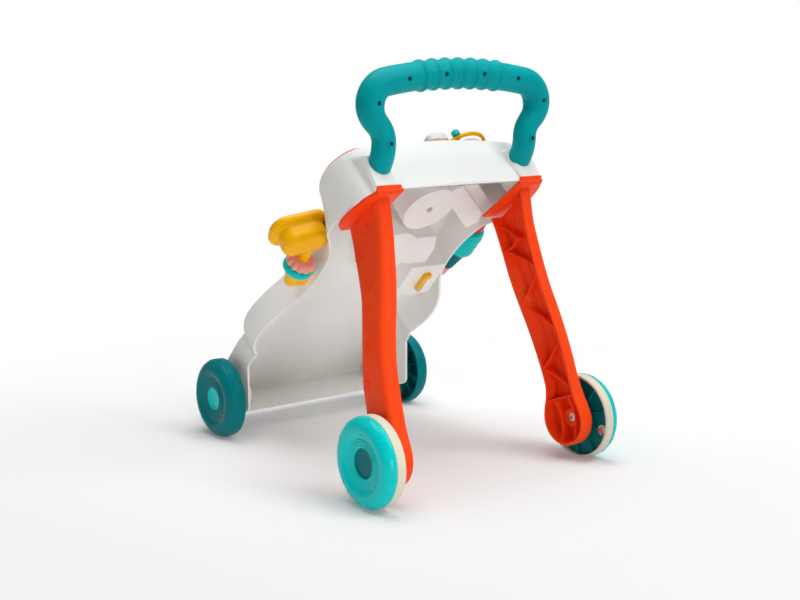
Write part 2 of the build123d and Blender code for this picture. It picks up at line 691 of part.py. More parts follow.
def rattle_block(shell_outer):
    """Stepped block: a flange on the panel's front and a body that stands back beside the waist."""
    place = Pos(BLOCK_X, BLOCK_V) * Rot(0, 0, RATTLE_TILT)
    flange_face = place * RectangleRounded(BLOCK_FLANGE_W, BLOCK_FLANGE_H, BLOCK_FLANGE_CORNER_R)
    flange = panel_prism(flange_face, BLOCK_FRONT_D, BLOCK_STEP_D)
    flange = fillet(flange.edges().group_by(Axis.Z)[0], BLOCK_FLANGE_ROUND)
    body_face = place * RectangleRounded(BLOCK_BODY_W, BLOCK_BODY_H, BLOCK_BODY_CORNER_R)
    body = panel_prism(body_face, BLOCK_STEP_D, BLOCK_BACK_D)
    body = fillet(body.edges().group_by(Axis.Z)[-1], BLOCK_BODY_ROUND)
    return on_panel(largest(flange + body - rattle_post_bar() - shell_outer))


def largest(shape):
    return shape.solids().sort_by(SortBy.VOLUME)[-1]


def rattle_post_bar():
    return panel_post(RATTLE_X, RATTLE_D, RATTLE_POST_LOW, RATTLE_POST_TOP, RATTLE_POST_R)


def rattle_cup(shell_outer):
    """Tapered foot under the rings, joined to the waist by a web."""
    height = CUP_TOP - CUP_LOW
    middle_v = (CUP_LOW + CUP_TOP) / 2
    cup = Pos(RATTLE_X, middle_v, RATTLE_D) * UP_SLOPE * Cone(CUP_LOW_R, CUP_TOP_R, height)
    web_w = -RATTLE_X - WAIST_WEB_X
    cup += Pos(RATTLE_X + web_w / 2, middle_v, RATTLE_D) * Box(web_w, height, 2 * CUP_LOW_R)
    return on_panel(largest(cup - rattle_post_bar() - shell_outer))


def pink_scallop_ring():
    low = CUP_TOP + TOY_GAP + SMOOTH_RING_T + TOY_GAP
    outline = Circle(SCALLOP_R - SCALLOP_DIP)
    for i in range(SCALLOPS):
        lobe = Pos(SCALLOP_R - SCALLOP_LOBE_R, 0) * Circle(SCALLOP_LOBE_R)
        outline += Rot(0, 0, 360 / SCALLOPS * i) * lobe
    ring = extrude(outline - Circle(RATTLE_POST_R + RUN_CLEAR), SCALLOP_T, dir=(0, 0, 1))
    ring = chamfer(ring.faces().sort_by(Axis.Z)[-1].outer_wire().edges(), SCALLOP_CHAMFER)
    return on_panel(Pos(RATTLE_X, low, RATTLE_D) * UP_SLOPE * ring)


def teal_smooth_ring():
    middle_v = CUP_TOP + TOY_GAP + SMOOTH_RING_T / 2
    ring = Cylinder(SMOOTH_RING_R, SMOOTH_RING_T)
    ring = fillet(ring.edges(), SMOOTH_RING_ROUND)
    ring -= Cylinder(RATTLE_POST_R + RUN_CLEAR, SMOOTH_RING_T)
    return on_panel(Pos(RATTLE_X, middle_v, RATTLE_D) * UP_SLOPE * ring)


def stack_piece(points):
    """Turned piece of the right-hand stack; points are r, v."""
    bore = STACK_POST_R + RUN_CLEAR
    low = points[0][1]
    high = points[-1][1]
    face = polygon([(bore, low), *points, (bore, high)])
    return on_panel(Pos(STACK_X, 0, STACK_D) * revolve(face, Axis.Y))


def stack_cone():
    low, high, low_r, high_r = STACK_CONE
    edge = STACK_EDGE
    foot = [(low_r - edge, low), (low_r, low + edge)]
    return stack_piece(foot + [(high_r, high - edge), (high_r - edge, high)])


def stack_drum():
    low, high, low_r, high_r = STACK_DRUM
    pitch = (high - low) / STACK_DRUM_GROOVES
    groove_end, band_end = STACK_DRUM_BAND
    points = []
    for i in range(STACK_DRUM_GROOVES):
        base = low + i * pitch
        band_r = low_r + (high_r - low_r) * (i + 0.5) / STACK_DRUM_GROOVES
        points += [(band_r - STACK_GROOVE_D, base), (band_r, base + groove_end * pitch),
                   (band_r, base + band_end * pitch)]
    return stack_piece(points + [(high_r - STACK_GROOVE_D, high)])


def stack_roller():
    low, high, radius = STACK_ROLLER
    span = high - low
    return stack_piece([(radius * share_r, low + span * share_v) for share_v, share_r in STACK_ROLLER_BANDS])


def stack_cap(shell_outer):
    """Cap over the stack's upper end, joined to the waist by a web."""
    low, high, radius = STACK_CAP
    cap = panel_post(STACK_X, STACK_D, low, high, radius)
    cap = fillet(cap.edges().group_by(Axis.Y)[0], STACK_CAP_ROUND)
    reach = STACK_X - STACK_CAP_ROOT_X
    cap += Pos(STACK_X - reach / 2, (low + high) / 2, STACK_D) * Box(reach, high - low, radius)
    return on_panel(largest(cap - stack_post_bar() - shell_outer))


def stack_post_bar():
    return panel_post(STACK_X, STACK_D, STACK_POST_LOW, STACK_POST_TOP, STACK_POST_R)


def leg_zone(wall, inner_in, outer_in):
    """Solid right leg and its bulb: back and front, inner side and outer side moved inwards."""
    sections = []
    for z, back, front, inner, outer, slant in LEG_SECTIONS:
        low = inner + inner_in
        high = outer - outer_in
        fall = slant / (outer - inner)
        edge = front - wall * hypot(1, fall)
        corners = [(low, back + wall), (high, back + wall), (high, edge - fall * (high - inner)),
                   (low, edge - fall * (low - inner))]
        sections.append(Pos(0, 0, z) * polygon(corners))
    bulb = disc_x(0, REAR_R, LEG_BULB_R - wall, LEG_BULB_X[0] + inner_in, LEG_BULB_X[1] - outer_in)
    return loft(sections) + bulb


def flange_slab(low, high):
    """Slab along the slanted shoulder rim, from low to high above it."""
    dy = SHOULDER_RIM[0] - ROOF_BACK_Y
    dz = SHOULDER_RIM[1] - ROOF_BACK_Z
    slab = Pos(0, 0, (low + high) / 2) * Box(REACH, REACH, high - low)
    return Pos(0, ROOF_BACK_Y, ROOF_BACK_Z) * Rot(degrees(atan2(dz, dy)), 0, 0) * slab


def flange_limit(back_y):
    """Upright block round the flange from back_y to its front."""
    width = FLANGE_OUTER_X - FLANGE_INNER_X
    depth = FLANGE_FRONT_Y - back_y
    return Pos(FLANGE_INNER_X + width / 2, back_y + depth / 2, REACH / 2) * Box(width, depth, REACH)


def flange_recess():
    """Recess in the shoulder's rim, open to the back, that the leg's flange sits in."""
    return flange_slab(-FLANGE_T, FLANGE_SINK) & flange_limit(ROOF_BACK_Y - OVERCUT)


def leg_rib(start, end):
    """Thin wall across the leg between two points in y, z."""
    dy = end[0] - start[0]
    dz = end[1] - start[1]
    wall = Rot(degrees(atan2(dz, dy)), 0, 0) * Box(2 * LEG_BULB_X[1], hypot(dy, dz) + LEG_RIB_T, LEG_RIB_T)
    return Pos(LEG_BULB_X[1], start[0] + dy / 2, start[1] + dz / 2) * wall


def leg_flange():
    """Plate on top of the leg that seats in the shoulder's rim."""
    return flange_slab(FLANGE_SINK - FLANGE_T, FLANGE_SINK) & flange_limit(FLANGE_BACK_Y)


def right_leg():
    above = flange_slab(FLANGE_SINK - FLANGE_T, REACH)
    body = leg_zone(0, 0, 0) - above - leg_zone(LEG_WALL, -2 * LEG_BULB_R, LEG_WALL)
    inside = leg_zone(LEG_WALL - OVERCUT, LEG_RIB_DROP, LEG_WALL - OVERCUT) - above
    for start, end in [*zip(LEG_ZIGZAG, LEG_ZIGZAG[1:]), *LEG_BULB_RIBS]:
        body += leg_rib(start, end) & inside
    seat = leg_seat_x()
    hub_x = REAR_INNER_X - HUB_OUT - SIDE_CLEAR
    boss = disc_x(0, REAR_R, LEG_BOSS_R, seat - LEG_BOSS_H, seat + LEG_RIB_T)
    hub = disc_x(0, REAR_R, HUB_R + LEG_WALL, seat, hub_x)
    body += [boss, hub, leg_flange()]
    body -= disc_x(0, REAR_R, AXLE_HEAD_R + HEAD_CLEAR, seat - LEG_BOSS_H - OVERCUT, seat)
    body -= disc_x(0, REAR_R, HUB_R + 2 * LEG_WALL, hub_x, REACH)
    body -= disc_x(0, REAR_R, AXLE_R, 0, REACH)
    return body - leg_screw_axis().location * Cylinder(LEG_SCREW_R, 2 * LEG_SCREW_BITE)


def leg_seat_x():
    """x of the face in the leg's bulb that the axle's head bears on."""
    return REAR_INNER_X - HUB_OUT - SIDE_CLEAR - LEG_WALL


def leg_screw():
    head = Pos(0, 0, -FLANGE_T - LEG_SCREW_HEAD_T / 2) * Cylinder(LEG_SCREW_HEAD_R, LEG_SCREW_HEAD_T)
    length = FLANGE_T + LEG_SCREW_BITE - SCREW_TIP_GAP
    shank = Pos(0, 0, -FLANGE_T + length / 2) * Cylinder(LEG_SCREW_R, length)
    return leg_screw_axis().location * (head + shank)


def handle_corner():
    """Right-hand corner of the handle, drawn in x, z."""
    z, angle = grip_point(GRIP_HALF)
    turn = 90 + CORNER_LEAN - degrees(angle)
    return JernArc((GRIP_HALF, z), (cos(angle), -sin(angle)), CORNER_R, -turn)


def grip_path():
    """Centre line of the grip and its two corners."""
    z = grip_point(GRIP_HALF)[0]
    grip = HANDLE_PLANE * ThreePointArc((-GRIP_HALF, z), (0, HANDLE_CROWN_Z), (GRIP_HALF, z))
    corner = HANDLE_PLANE * handle_corner()
    return Wire([*grip.edges(), *corner.edges(), *mirror(corner, Plane.YZ).edges()])


def handle_leg_path():
    """Centre line of the right-hand leg of the handle, from the lean to its end in the socket."""
    corner = handle_corner()
    lean = corner % 1
    neck = HANDLE_PLANE * JernArc(corner @ 1 + CORNER_RUN * lean, lean, NECK_R, CORNER_LEAN)
    x, z = handle_neck()
    half = radians(FOOT_BEND / 2)
    start, direction = handle_end()
    middle = (x, HANDLE_Y + FOOT_BEND_R * (1 - cos(half)), z - FOOT_BEND_R * sin(half))
    bend = ThreePointArc((x, HANDLE_Y, z), middle, start)
    foot = Line(start, start + (FOOT_RUN - SOCKET_END_GAP) * direction)
    return Wire([*neck.edges(), *bend.edges(), *foot.edges()])


def handle_taper(grip_r, leg_r):
    """Short cone between the right-hand corner and the leg of the handle."""
    corner = HANDLE_PLANE * handle_corner()
    cone = Pos(0, 0, CORNER_RUN / 2) * Cone(grip_r, leg_r, CORNER_RUN)
    return Plane(corner @ 1, z_dir=corner % 1).location * cone


def swept(path, radius):
    start = Plane(path @ 0, z_dir=path % 0)
    return sweep(start * Circle(radius), path=path)


def handle_bar(wall):
    """Solid handle, moved inwards by wall: grip and corners, then a taper and a leg on each side."""
    grip_r = HANDLE_R - wall
    leg_r = HANDLE_LEG_R - wall
    leg = handle_taper(grip_r, leg_r) + swept(handle_leg_path(), leg_r)
    return swept(grip_path(), grip_r) + leg + mirror(leg, Plane.YZ)


def front_zone():
    """Everything in front of the handle's parting surface."""
    z = handle_neck()[1]
    start, direction = handle_end()
    end = start + 3 * FOOT_RUN * direction
    half = radians(FOOT_BEND / 2)
    middle = (HANDLE_Y + FOOT_BEND_R * (1 - cos(half)), z - FOOT_BEND_R * sin(half))
    lines = Line((HANDLE_Y, REACH), (HANDLE_Y, z))
    lines += ThreePointArc((HANDLE_Y, z), middle, (start.Y, start.Z))
    lines += Polyline((start.Y, start.Z), (end.Y, end.Z), (REACH, end.Z), (REACH, REACH), (HANDLE_Y, REACH))
    return along_x(make_face(lines), -REACH, REACH)


def along_y(x, z, radius, low, high):
    return Pos(x, (low + high) / 2, z) * Rot(90, 0, 0) * Cylinder(radius, high - low)


def handle_holes():
    return HANDLE_HOLES + [(-x, z) for x, z in HANDLE_HOLES]


def grip_bead(i):
    """One ring of the grip, across the tube."""
    angle = (i - (GRIP_RINGS - 1) / 2) * GRIP_RING_PITCH / GRIP_ARC_R
    x = GRIP_ARC_R * sin(angle)
    bead = Cylinder(GRIP_BEAD_R, GRIP_BEAD_W)
    bead = fillet(bead.edges(), GRIP_BEAD_ROUND)
    return Pos(x, HANDLE_Y, grip_point(x)[0]) * Rot(0, 90 + degrees(angle), 0) * bead


def handle_halves():
    outer = handle_bar(0)
    hollow = handle_bar(HANDLE_WALL)
    zone = front_zone()
    seat = HANDLE_Y - HANDLE_SCREW_SEAT
    halves = []
    for part in (outer & zone, outer - zone):
        front = part.center().Y > HANDLE_Y
        for i in range(GRIP_RINGS):
            bead = grip_bead(i)
            part += bead & zone if front else bead - zone
        space = hollow & zone if front else hollow - zone
        for x, z in handle_holes():
            space -= along_y(x, z, HANDLE_BOSS_R, HANDLE_Y - HANDLE_R, HANDLE_Y + HANDLE_R)
        part -= space
        for x, z in handle_holes():
            part -= along_y(x, z, HANDLE_SCREW_R, seat - OVERCUT, HANDLE_Y + HANDLE_SCREW_BITE)
            part -= along_y(x, z, HANDLE_HOLE_R, HANDLE_Y - 2 * HANDLE_R, seat)
        halves.append(part)
    return halves


def handle_screws():
    seat = HANDLE_Y - HANDLE_SCREW_SEAT
    screws = []
    for x, z in handle_holes():
        screw = along_y(x, z, HANDLE_SCREW_R, seat, HANDLE_Y + HANDLE_SCREW_BITE - SCREW_TIP_GAP)
        screws.append(screw + along_y(x, z, HANDLE_HOLE_R - SOCKET_CLEAR, seat - HANDLE_SCREW_HEAD_T, seat))
    return Compound(screws)


def steps(count, from_point, to_point):
    """Staircase points between two points in x, r."""
    x0, r0 = from_point
    x1, r1 = to_point
    points = []
    for i in range(count):
        low = x0 + (x1 - x0) * i / count
        high = x0 + (x1 - x0) * (i + 1) / count
        r = r0 + (r1 - r0) * (i + 1) / count
        points += [(low, r), (high, r)]
    return points


def quarter(centre, radius_x, radius_r, first, last, count=7):
    """Points on an elliptic arc in x, r between two angles."""
    x, r = centre
    turns = [first + (last - first) * i / (count - 1) for i in range(count)]
    return [(x + radius_x * cos(radians(a)), r + radius_r * sin(radians(a))) for a in turns]


def rear_dome():
    """Outer half of a rear wheel: a rounded tread that rolls over to a stepped dish and hub hole."""
    base = REAR_INNER_X + GRIP_RING_W
    dish = base + DOME_W - DISH_DEPTH
    back = dish - DOME_WALL
    crest = (base, DOME_CREST_R)
    crest_in = DOME_CREST_R - CREST_FLAT
    ring_x = dish + DISH_RING_RISE
    ring_r = REAR_CAP_R + DISH_RING_W
    collar_r = REAR_CAP_R + DOME_WALL
    points = quarter(crest, DOME_W, REAR_R - DOME_CREST_R, 90, 0)
    points += [(base + DOME_W, crest_in), (ring_x, ring_r + DISH_LIP)]
    points += steps(DISH_STEPS, (ring_x, ring_r), (dish, REAR_CAP_R))
    points += [(base + CAP_SEAT, REAR_CAP_R), (base + CAP_SEAT, collar_r), (back, collar_r), (back, crest_in)]
    points += quarter(crest, DOME_W - DOME_WALL, REAR_R - DOME_WALL - DOME_CREST_R, 0, 90)
    body = turned_x(points, 0, REAR_R)
    for y, z in lug_places():
        body += disc_x(y, z, DOME_POST_R, base, base + DOME_W - DOME_WALL + DOME_POST_LAP)
    for y, z in lug_places():
        body -= disc_x(y, z, WHEEL_SCREW_R, base - OVERCUT, base + WHEEL_SCREW_BITE + SCREW_TIP_GAP)
    return body


def lug_places():
    """y, z of the lugs of a rear wheel."""
    turns = [radians(LUG_START + 360 / LUG_COUNT * i) for i in range(LUG_COUNT)]
    return [(LUG_CIRCLE_R * cos(turn), REAR_R + LUG_CIRCLE_R * sin(turn)) for turn in turns]


def rear_grip_ring():
    """Cream ring with an inner flange and the lugs that take the wheel's screws."""
    low = REAR_INNER_X
    high = low + GRIP_RING_W
    wall_r = REAR_R - GRIP_RING_WALL
    flange_x = high - GRIP_FLANGE_T
    points = [(low, wall_r), (low, REAR_R - RING_EDGE), (low + RING_EDGE, REAR_R), (high, REAR_R),
              (high, GRIP_FLANGE_R), (flange_x, GRIP_FLANGE_R), (flange_x, wall_r)]
    body = turned_x(points, 0, REAR_R)
    for y, z in lug_places():
        body += disc_x(y, z, LUG_R, low + LUG_FROM_EDGE, high)
    for y, z in lug_places():
        body -= disc_x(y, z, WHEEL_SCREW_R, low, high + OVERCUT)
    return body


def spokes(y, z, low, high, inner_r, outer_r):
    """Radial ribs round an axle from inner_r to outer_r."""
    span = outer_r - inner_r
    rib = Pos((low + high) / 2, 0, inner_r + span / 2) * Box(high - low, SPOKE_T, span)
    return [Pos(0, y, z) * Rot(360 / REAR_SPOKES * i, 0, 0) * rib for i in range(REAR_SPOKES)]


def rear_inner_disc():
    """Dark spoked disc in the ring with the hub tube that turns on the axle."""
    high = REAR_INNER_X + GRIP_RING_W - GRIP_FLANGE_T
    low = high - REAR_DISC_T
    rim_r = REAR_R - GRIP_RING_WALL
    hub_low = REAR_INNER_X - HUB_OUT
    hub_high = rear_retainer_x()
    bore = AXLE_R + RUN_CLEAR
    points = [(hub_low, bore), (hub_low, HUB_R), (low, HUB_R), (low, rim_r), (high, rim_r), (high, HUB_R),
              (hub_high, HUB_R), (hub_high, bore)]
    body = turned_x(points, 0, REAR_R)
    rib_low = REAR_INNER_X + SPOKE_FROM_EDGE
    body += spokes(0, REAR_R, rib_low, low + SPOKE_LAP, HUB_R - SPOKE_LAP, rim_r + SPOKE_LAP)
    body &= disc_x(0, REAR_R, rim_r, 0, REACH)
    for y, z in lug_places():
        body -= disc_x(y, z, LUG_R + RUN_CLEAR, 0, REACH)
    return body - disc_x(0, REAR_R, bore, 0, REACH)


def rear_retainer_x():
    return REAR_INNER_X + GRIP_RING_W + HUB_THROUGH


def rear_hub_cap():
    """Dark cup that closes the hub hole of the dome."""
    seat = REAR_INNER_X + GRIP_RING_W + CAP_SEAT
    rim = REAR_INNER_X + GRIP_RING_W + DOME_W - DISH_DEPTH
    return hub_cup(seat, rim, REAR_INNER_X + GRIP_RING_W + REAR_CAP_FLOOR, REAR_CAP_R, 0, REAR_R)


def hub_cup(seat, rim, floor, radius, y, z):
    """Cup with a rounded hollow: skirt from seat to rim and a floor, turned about an axle."""
    inner_r = radius - CAP_WALL
    points = [(seat, radius), (rim + CAP_PROUD, radius), (rim + CAP_PROUD, inner_r)]
    points += quarter((rim, 0), floor + CAP_WALL - rim, inner_r, 90, 0)[1:]
    points += [(floor, 0), (floor, inner_r - CAP_TAPER), (seat, inner_r)]
    return turned_x(points, y, z)


def rear_wheel_screws():
    seat = REAR_INNER_X + LUG_FROM_EDGE
    tip = REAR_INNER_X + GRIP_RING_W + WHEEL_SCREW_BITE
    screws = []
    for y, z in lug_places():
        head = disc_x(y, z, WHEEL_SCREW_HEAD_R, seat - WHEEL_SCREW_HEAD_T, seat)
        screws.append(head + disc_x(y, z, WHEEL_SCREW_R, seat, tip))
    return Compound(screws)


def rear_axle():
    seat = leg_seat_x()
    back = seat - AXLE_HEAD_T
    pin = disc_x(0, REAR_R, AXLE_R, seat, rear_retainer_x() + SIDE_CLEAR + RETAINER_T + AXLE_END)
    head = disc_x(0, REAR_R, AXLE_HEAD_R, back, seat)
    socket = disc_x(0, REAR_R, AXLE_HEAD_R * AXLE_SOCKET_SHARE, back - OVERCUT, back + AXLE_SOCKET_D)
    return pin + fillet(head.edges().group_by(Axis.X)[0], AXLE_HEAD_ROUND) - socket


def retainer(y, z, x):
    ring = disc_x(y, z, RETAINER_R, x, x + RETAINER_T)
    return ring - disc_x(y, z, AXLE_R, x - OVERCUT, x + RETAINER_T + OVERCUT)


def front_wheel():
    """Dark moulded wheel: tread, rolled shoulder, stepped dish, ribbed hollow back and hub tube."""
    low = FRONT_INNER_X
    high = low + FRONT_W
    dish = high - DISH_DEPTH
    wall = FRONT_WALL
    crest = (high - FRONT_SHOULDER, FRONT_CREST_R)
    crest_in = FRONT_CREST_R - CREST_FLAT
    ring_x = dish + DISH_RING_RISE
    ring_r = FRONT_CAP_R + DISH_RING_W
    floor = front_retainer_x() - SIDE_CLEAR
    bore = AXLE_R + RUN_CLEAR
    points = [(low, FRONT_R - wall), (low, FRONT_R - FRONT_EDGE), (low + FRONT_EDGE, FRONT_R)]
    points += quarter(crest, FRONT_SHOULDER, FRONT_R - FRONT_CREST_R, 90, 0)
    points += [(high, crest_in), (ring_x, ring_r + DISH_LIP)]
    points += steps(DISH_STEPS, (ring_x, ring_r), (dish, FRONT_CAP_R))
    points += [(floor, FRONT_CAP_R), (floor, bore), (low, bore), (low, HUB_R), (floor - wall, HUB_R)]
    points += [(floor - wall, FRONT_CAP_R + wall), (dish - wall, FRONT_CAP_R + wall), (dish - wall, crest_in)]
    points += quarter(crest, FRONT_SHOULDER - wall, FRONT_R - wall - FRONT_CREST_R, 0, 90)
    body = turned_x(points, WHEELBASE, FRONT_R)
    rib_r = FRONT_R - wall - FRONT_EDGE
    rib_high = dish - wall + SPOKE_LAP
    body += spokes(WHEELBASE, FRONT_R, low + FRONT_SPOKE_IN, rib_high, HUB_R - SPOKE_LAP, rib_r)
    return body - disc_x(WHEELBASE, FRONT_R, FRONT_CAP_R, floor, high + OVERCUT)


def front_retainer_x():
    return FRONT_INNER_X + FRONT_W - FRONT_RETAINER_IN


def front_hub_cap():
    dish = FRONT_INNER_X + FRONT_W - DISH_DEPTH
    seat = front_retainer_x() + RETAINER_T + AXLE_END + SIDE_CLEAR
    return hub_cup(seat, dish, dish - FRONT_CAP_SINK, FRONT_CAP_R, WHEELBASE, FRONT_R)


def front_axle():
    seat = FRONT_AXLE_HEAD_X + AXLE_HEAD_T
    pin = disc_x(WHEELBASE, FRONT_R, AXLE_R, seat, front_retainer_x() + RETAINER_T + AXLE_END)
    head = disc_x(WHEELBASE, FRONT_R, AXLE_HEAD_R, FRONT_AXLE_HEAD_X, seat)
    return pin + fillet(head.edges().group_by(Axis.X)[0], AXLE_HEAD_ROUND)


def write(name, shape):
    """Moves a piece to the part's own origin and writes it."""
    placed = Pos(0, -CENTRE_FROM_REAR_AXLE, 0) * shape
    export_step(placed, f"parts/{name}.step")


def write_pair(pattern, right):
    write(pattern.format("right"), right)
    write(pattern.format("left"), mirror(right, Plane.YZ))


os.makedirs("parts", exist_ok=True)
outer_tub = tub(0)

write("panel_shell", panel_shell())
write("front_fascia", front_fascia())
handle_front, handle_back = handle_halves()
write("handle_front_half", handle_front)
write("handle_back_half", handle_back)
write("handle_screws", handle_screws())
write_pair("{}_leg", right_leg())
screw = leg_screw()
write("leg_screws", Compound([screw, mirror(screw, Plane.YZ)]))

write_pair("rear_{}_dome", rear_dome())
write_pair("rear_{}_grip_ring", rear_grip_ring())
write_pair("rear_{}_inner_disc", rear_inner_disc())
write_pair("rear_{}_hub_cap", rear_hub_cap())
write_pair("rear_{}_wheel_screws", rear_wheel_screws())
write_pair("rear_{}_axle", rear_axle())
write_pair("front_{}_wheel", front_wheel())
write_pair("front_{}_hub_cap", front_hub_cap())
write_pair("front_{}_axle", front_axle())
clips = [retainer(0, REAR_R, rear_retainer_x() + SIDE_CLEAR)]
clips.append(retainer(WHEELBASE, FRONT_R, front_retainer_x()))
write("axle_retainers", Compound(clips + [mirror(clip, Plane.YZ) for clip in clips]))

write("rattle_block", rattle_block(outer_tub))
write("rattle_cup", rattle_cup(outer_tub))
write("rattle_post", on_panel(rattle_post_bar()))
write("rattle_pink_ring", pink_scallop_ring())
write("rattle_teal_ring", teal_smooth_ring())
write("stack_cap", stack_cap(outer_tub))
write("stack_post", on_panel(stack_post_bar()))
write("stack_roller", stack_roller())
write("stack_drum", stack_drum())
write("stack_cone", stack_cone())

flower = well_toy(SPINNER_X, SPINNER_V, SPINNER_WELL_D, SPINNER_T, petal_face(), SPINNER_ROUND)
write("spinner_flower", flower)
write("spinner_cap", dome_cap(SPINNER_X, SPINNER_V, SPINNER_CAP_R, SPINNER_CAP_H))
write("spinner_screw", toy_screw(SPINNER_X, SPINNER_V, SPINNER_WELL_D))
write("rattle_gear", well_toy(GEAR_X, GEAR_V, GEAR_WELL_D, GEAR_T, gear_face(), GEAR_ROUND))
write("rattle_gear_cap", dome_cap(GEAR_X, GEAR_V, GEAR_CAP_R, GEAR_CAP_H))
write("rattle_gear_screw", toy_screw(GEAR_X, GEAR_V, GEAR_WELL_D))
write("dial_base", dial_base())
write("dial_ring", dial_ring())
write("dial_knob", dial_knob())
write("melody_button", melody_button())
write("lever_arm", lever_arm())
write("lever_clip", lever_clip())
write("lever_screw", toy_screw(LEVER_X, LEVER_V, lever_screw_depth()))
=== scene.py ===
import json
from math import asin, ceil, cos, hypot, pi, radians, sin

import bmesh
import bpy
from mathutils import Matrix, Vector


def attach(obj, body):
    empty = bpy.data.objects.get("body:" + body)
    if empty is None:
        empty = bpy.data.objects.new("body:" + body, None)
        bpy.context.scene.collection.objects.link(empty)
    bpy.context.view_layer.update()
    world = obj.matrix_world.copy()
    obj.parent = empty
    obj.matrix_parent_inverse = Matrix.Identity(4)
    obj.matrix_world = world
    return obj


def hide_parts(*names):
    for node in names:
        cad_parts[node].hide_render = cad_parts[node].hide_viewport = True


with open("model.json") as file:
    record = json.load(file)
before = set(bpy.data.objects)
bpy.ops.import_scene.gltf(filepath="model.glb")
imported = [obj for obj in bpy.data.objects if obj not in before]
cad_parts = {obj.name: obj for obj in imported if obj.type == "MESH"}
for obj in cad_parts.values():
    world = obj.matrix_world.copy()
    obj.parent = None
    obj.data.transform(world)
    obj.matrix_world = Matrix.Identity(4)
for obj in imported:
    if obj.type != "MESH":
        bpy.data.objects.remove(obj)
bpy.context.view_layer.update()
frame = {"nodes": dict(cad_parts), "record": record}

MM = 0.001
REAR_AXLE_Y = -181.0


# Materials

def linear(hex_colour):
    """sRGB hex to a linear colour with alpha."""
    parts = [int(hex_colour[i:i + 2], 16) / 255 for i in (1, 3, 5)]
    return [p / 12.92 if p <= 0.04045 else ((p + 0.055) / 1.055) ** 2.4 for p in parts] + [1.0]


def add(tree, kind, settings=(), values=(), links=()):
    """Adds a node, sets its properties and input values, and links (input, from node, output)."""
    node = tree.nodes.new(kind)
    for key, value in dict(settings).items():
        setattr(node, key, value)
    for key, value in dict(values).items():
        node.inputs[key].default_value = value
    for key, source, output in links:
        tree.links.new(node.inputs[key], source.outputs[output])
    return node


def per_mm(size):
    """Noise scale in 1/m for a feature of this size in millimetres."""
    return 1000.0 / size


def blank_finish(name):
    """New material and its empty node tree."""
    mat = bpy.data.materials.new(name)
    mat.use_nodes = True
    mat.node_tree.nodes.clear()
    return mat, mat.node_tree


# size in millimetres, detail and roughness of the colour's drift, the gloss's specks and the mould's grain,
# which is drawn coarser than the real one so that it shows
MOULDED_NOISE = [(55.0, 2.0, 0.5), (4.0, 3.0, 0.6), (0.35, 2.0, 0.6)]
MOULDED_IOR = 1.53
GRAIN_DEPTH = 0.012
GRAIN_STRENGTH = 0.1
GLOSS_LESS = 0.02
GLOSS_MORE = 0.03
PLATING_CLOUD = 1.6
PLATING_DEPTH = 0.01
PLATING_STRENGTH = 0.3
PLATING_LESS = 0.08
PLATING_MORE = 0.12


def moulded(name, hex_colour, hex_shade, roughness, shine=0.2):
    """Injection-moulded plastic: a fine grain breaks up the gloss, and the colour drifts slightly."""
    mat, tree = blank_finish(name)
    place = add(tree, "ShaderNodeTexCoord")
    noises = []
    for size, detail, rough in MOULDED_NOISE:
        values = {"Scale": per_mm(size), "Detail": detail, "Roughness": rough}
        noises.append(add(tree, "ShaderNodeTexNoise", {}, values, [("Vector", place, "Object")]))
    drift, speck, grain = noises
    blend = add(tree, "ShaderNodeMapRange", {}, {"From Min": 0.35, "From Max": 0.65},
                [("Value", drift, "Fac")])
    colour = add(tree, "ShaderNodeMix", {"data_type": "RGBA"},
                 {6: linear(hex_colour), 7: linear(hex_shade)}, [(0, blend, "Result")])
    gloss = add(tree, "ShaderNodeMapRange", {},
                {"From Min": 0.3, "From Max": 0.7,
                 "To Min": roughness - GLOSS_LESS, "To Max": roughness + GLOSS_MORE},
                [("Value", speck, "Fac")])
    bump = add(tree, "ShaderNodeBump", {},
               {"Strength": GRAIN_STRENGTH, "Distance": GRAIN_DEPTH * MM}, [("Height", grain, "Fac")])
    shader = add(tree, "ShaderNodeBsdfPrincipled", {},
                 {"IOR": MOULDED_IOR, "Specular IOR Level": shine},
                 [("Base Color", colour, 2), ("Roughness", gloss, "Result"), ("Normal", bump, "Normal")])
    add(tree, "ShaderNodeOutputMaterial", {}, {}, [("Surface", shader, "BSDF")])
    return mat


def plated_steel(name, hex_colour, roughness):
    """Zinc-plated screw steel: bright, with a slightly cloudy and uneven plating."""
    mat, tree = blank_finish(name)
    place = add(tree, "ShaderNodeTexCoord")
    cloud = add(tree, "ShaderNodeTexNoise", {}, {"Scale": per_mm(PLATING_CLOUD), "Detail": 3.0},
                [("Vector", place, "Object")])
    gloss = add(tree, "ShaderNodeMapRange", {},
                {"To Min": roughness - PLATING_LESS, "To Max": roughness + PLATING_MORE},
                [("Value", cloud, "Fac")])
    bump = add(tree, "ShaderNodeBump", {},
               {"Strength": PLATING_STRENGTH, "Distance": PLATING_DEPTH * MM}, [("Height", cloud, "Fac")])
    shader = add(tree, "ShaderNodeBsdfPrincipled", {},
                 {"Base Color": linear(hex_colour), "Metallic": 1.0},
                 [("Roughness", gloss, "Result"), ("Normal", bump, "Normal")])
    add(tree, "ShaderNodeOutputMaterial", {}, {}, [("Surface", shader, "BSDF")])
    return mat


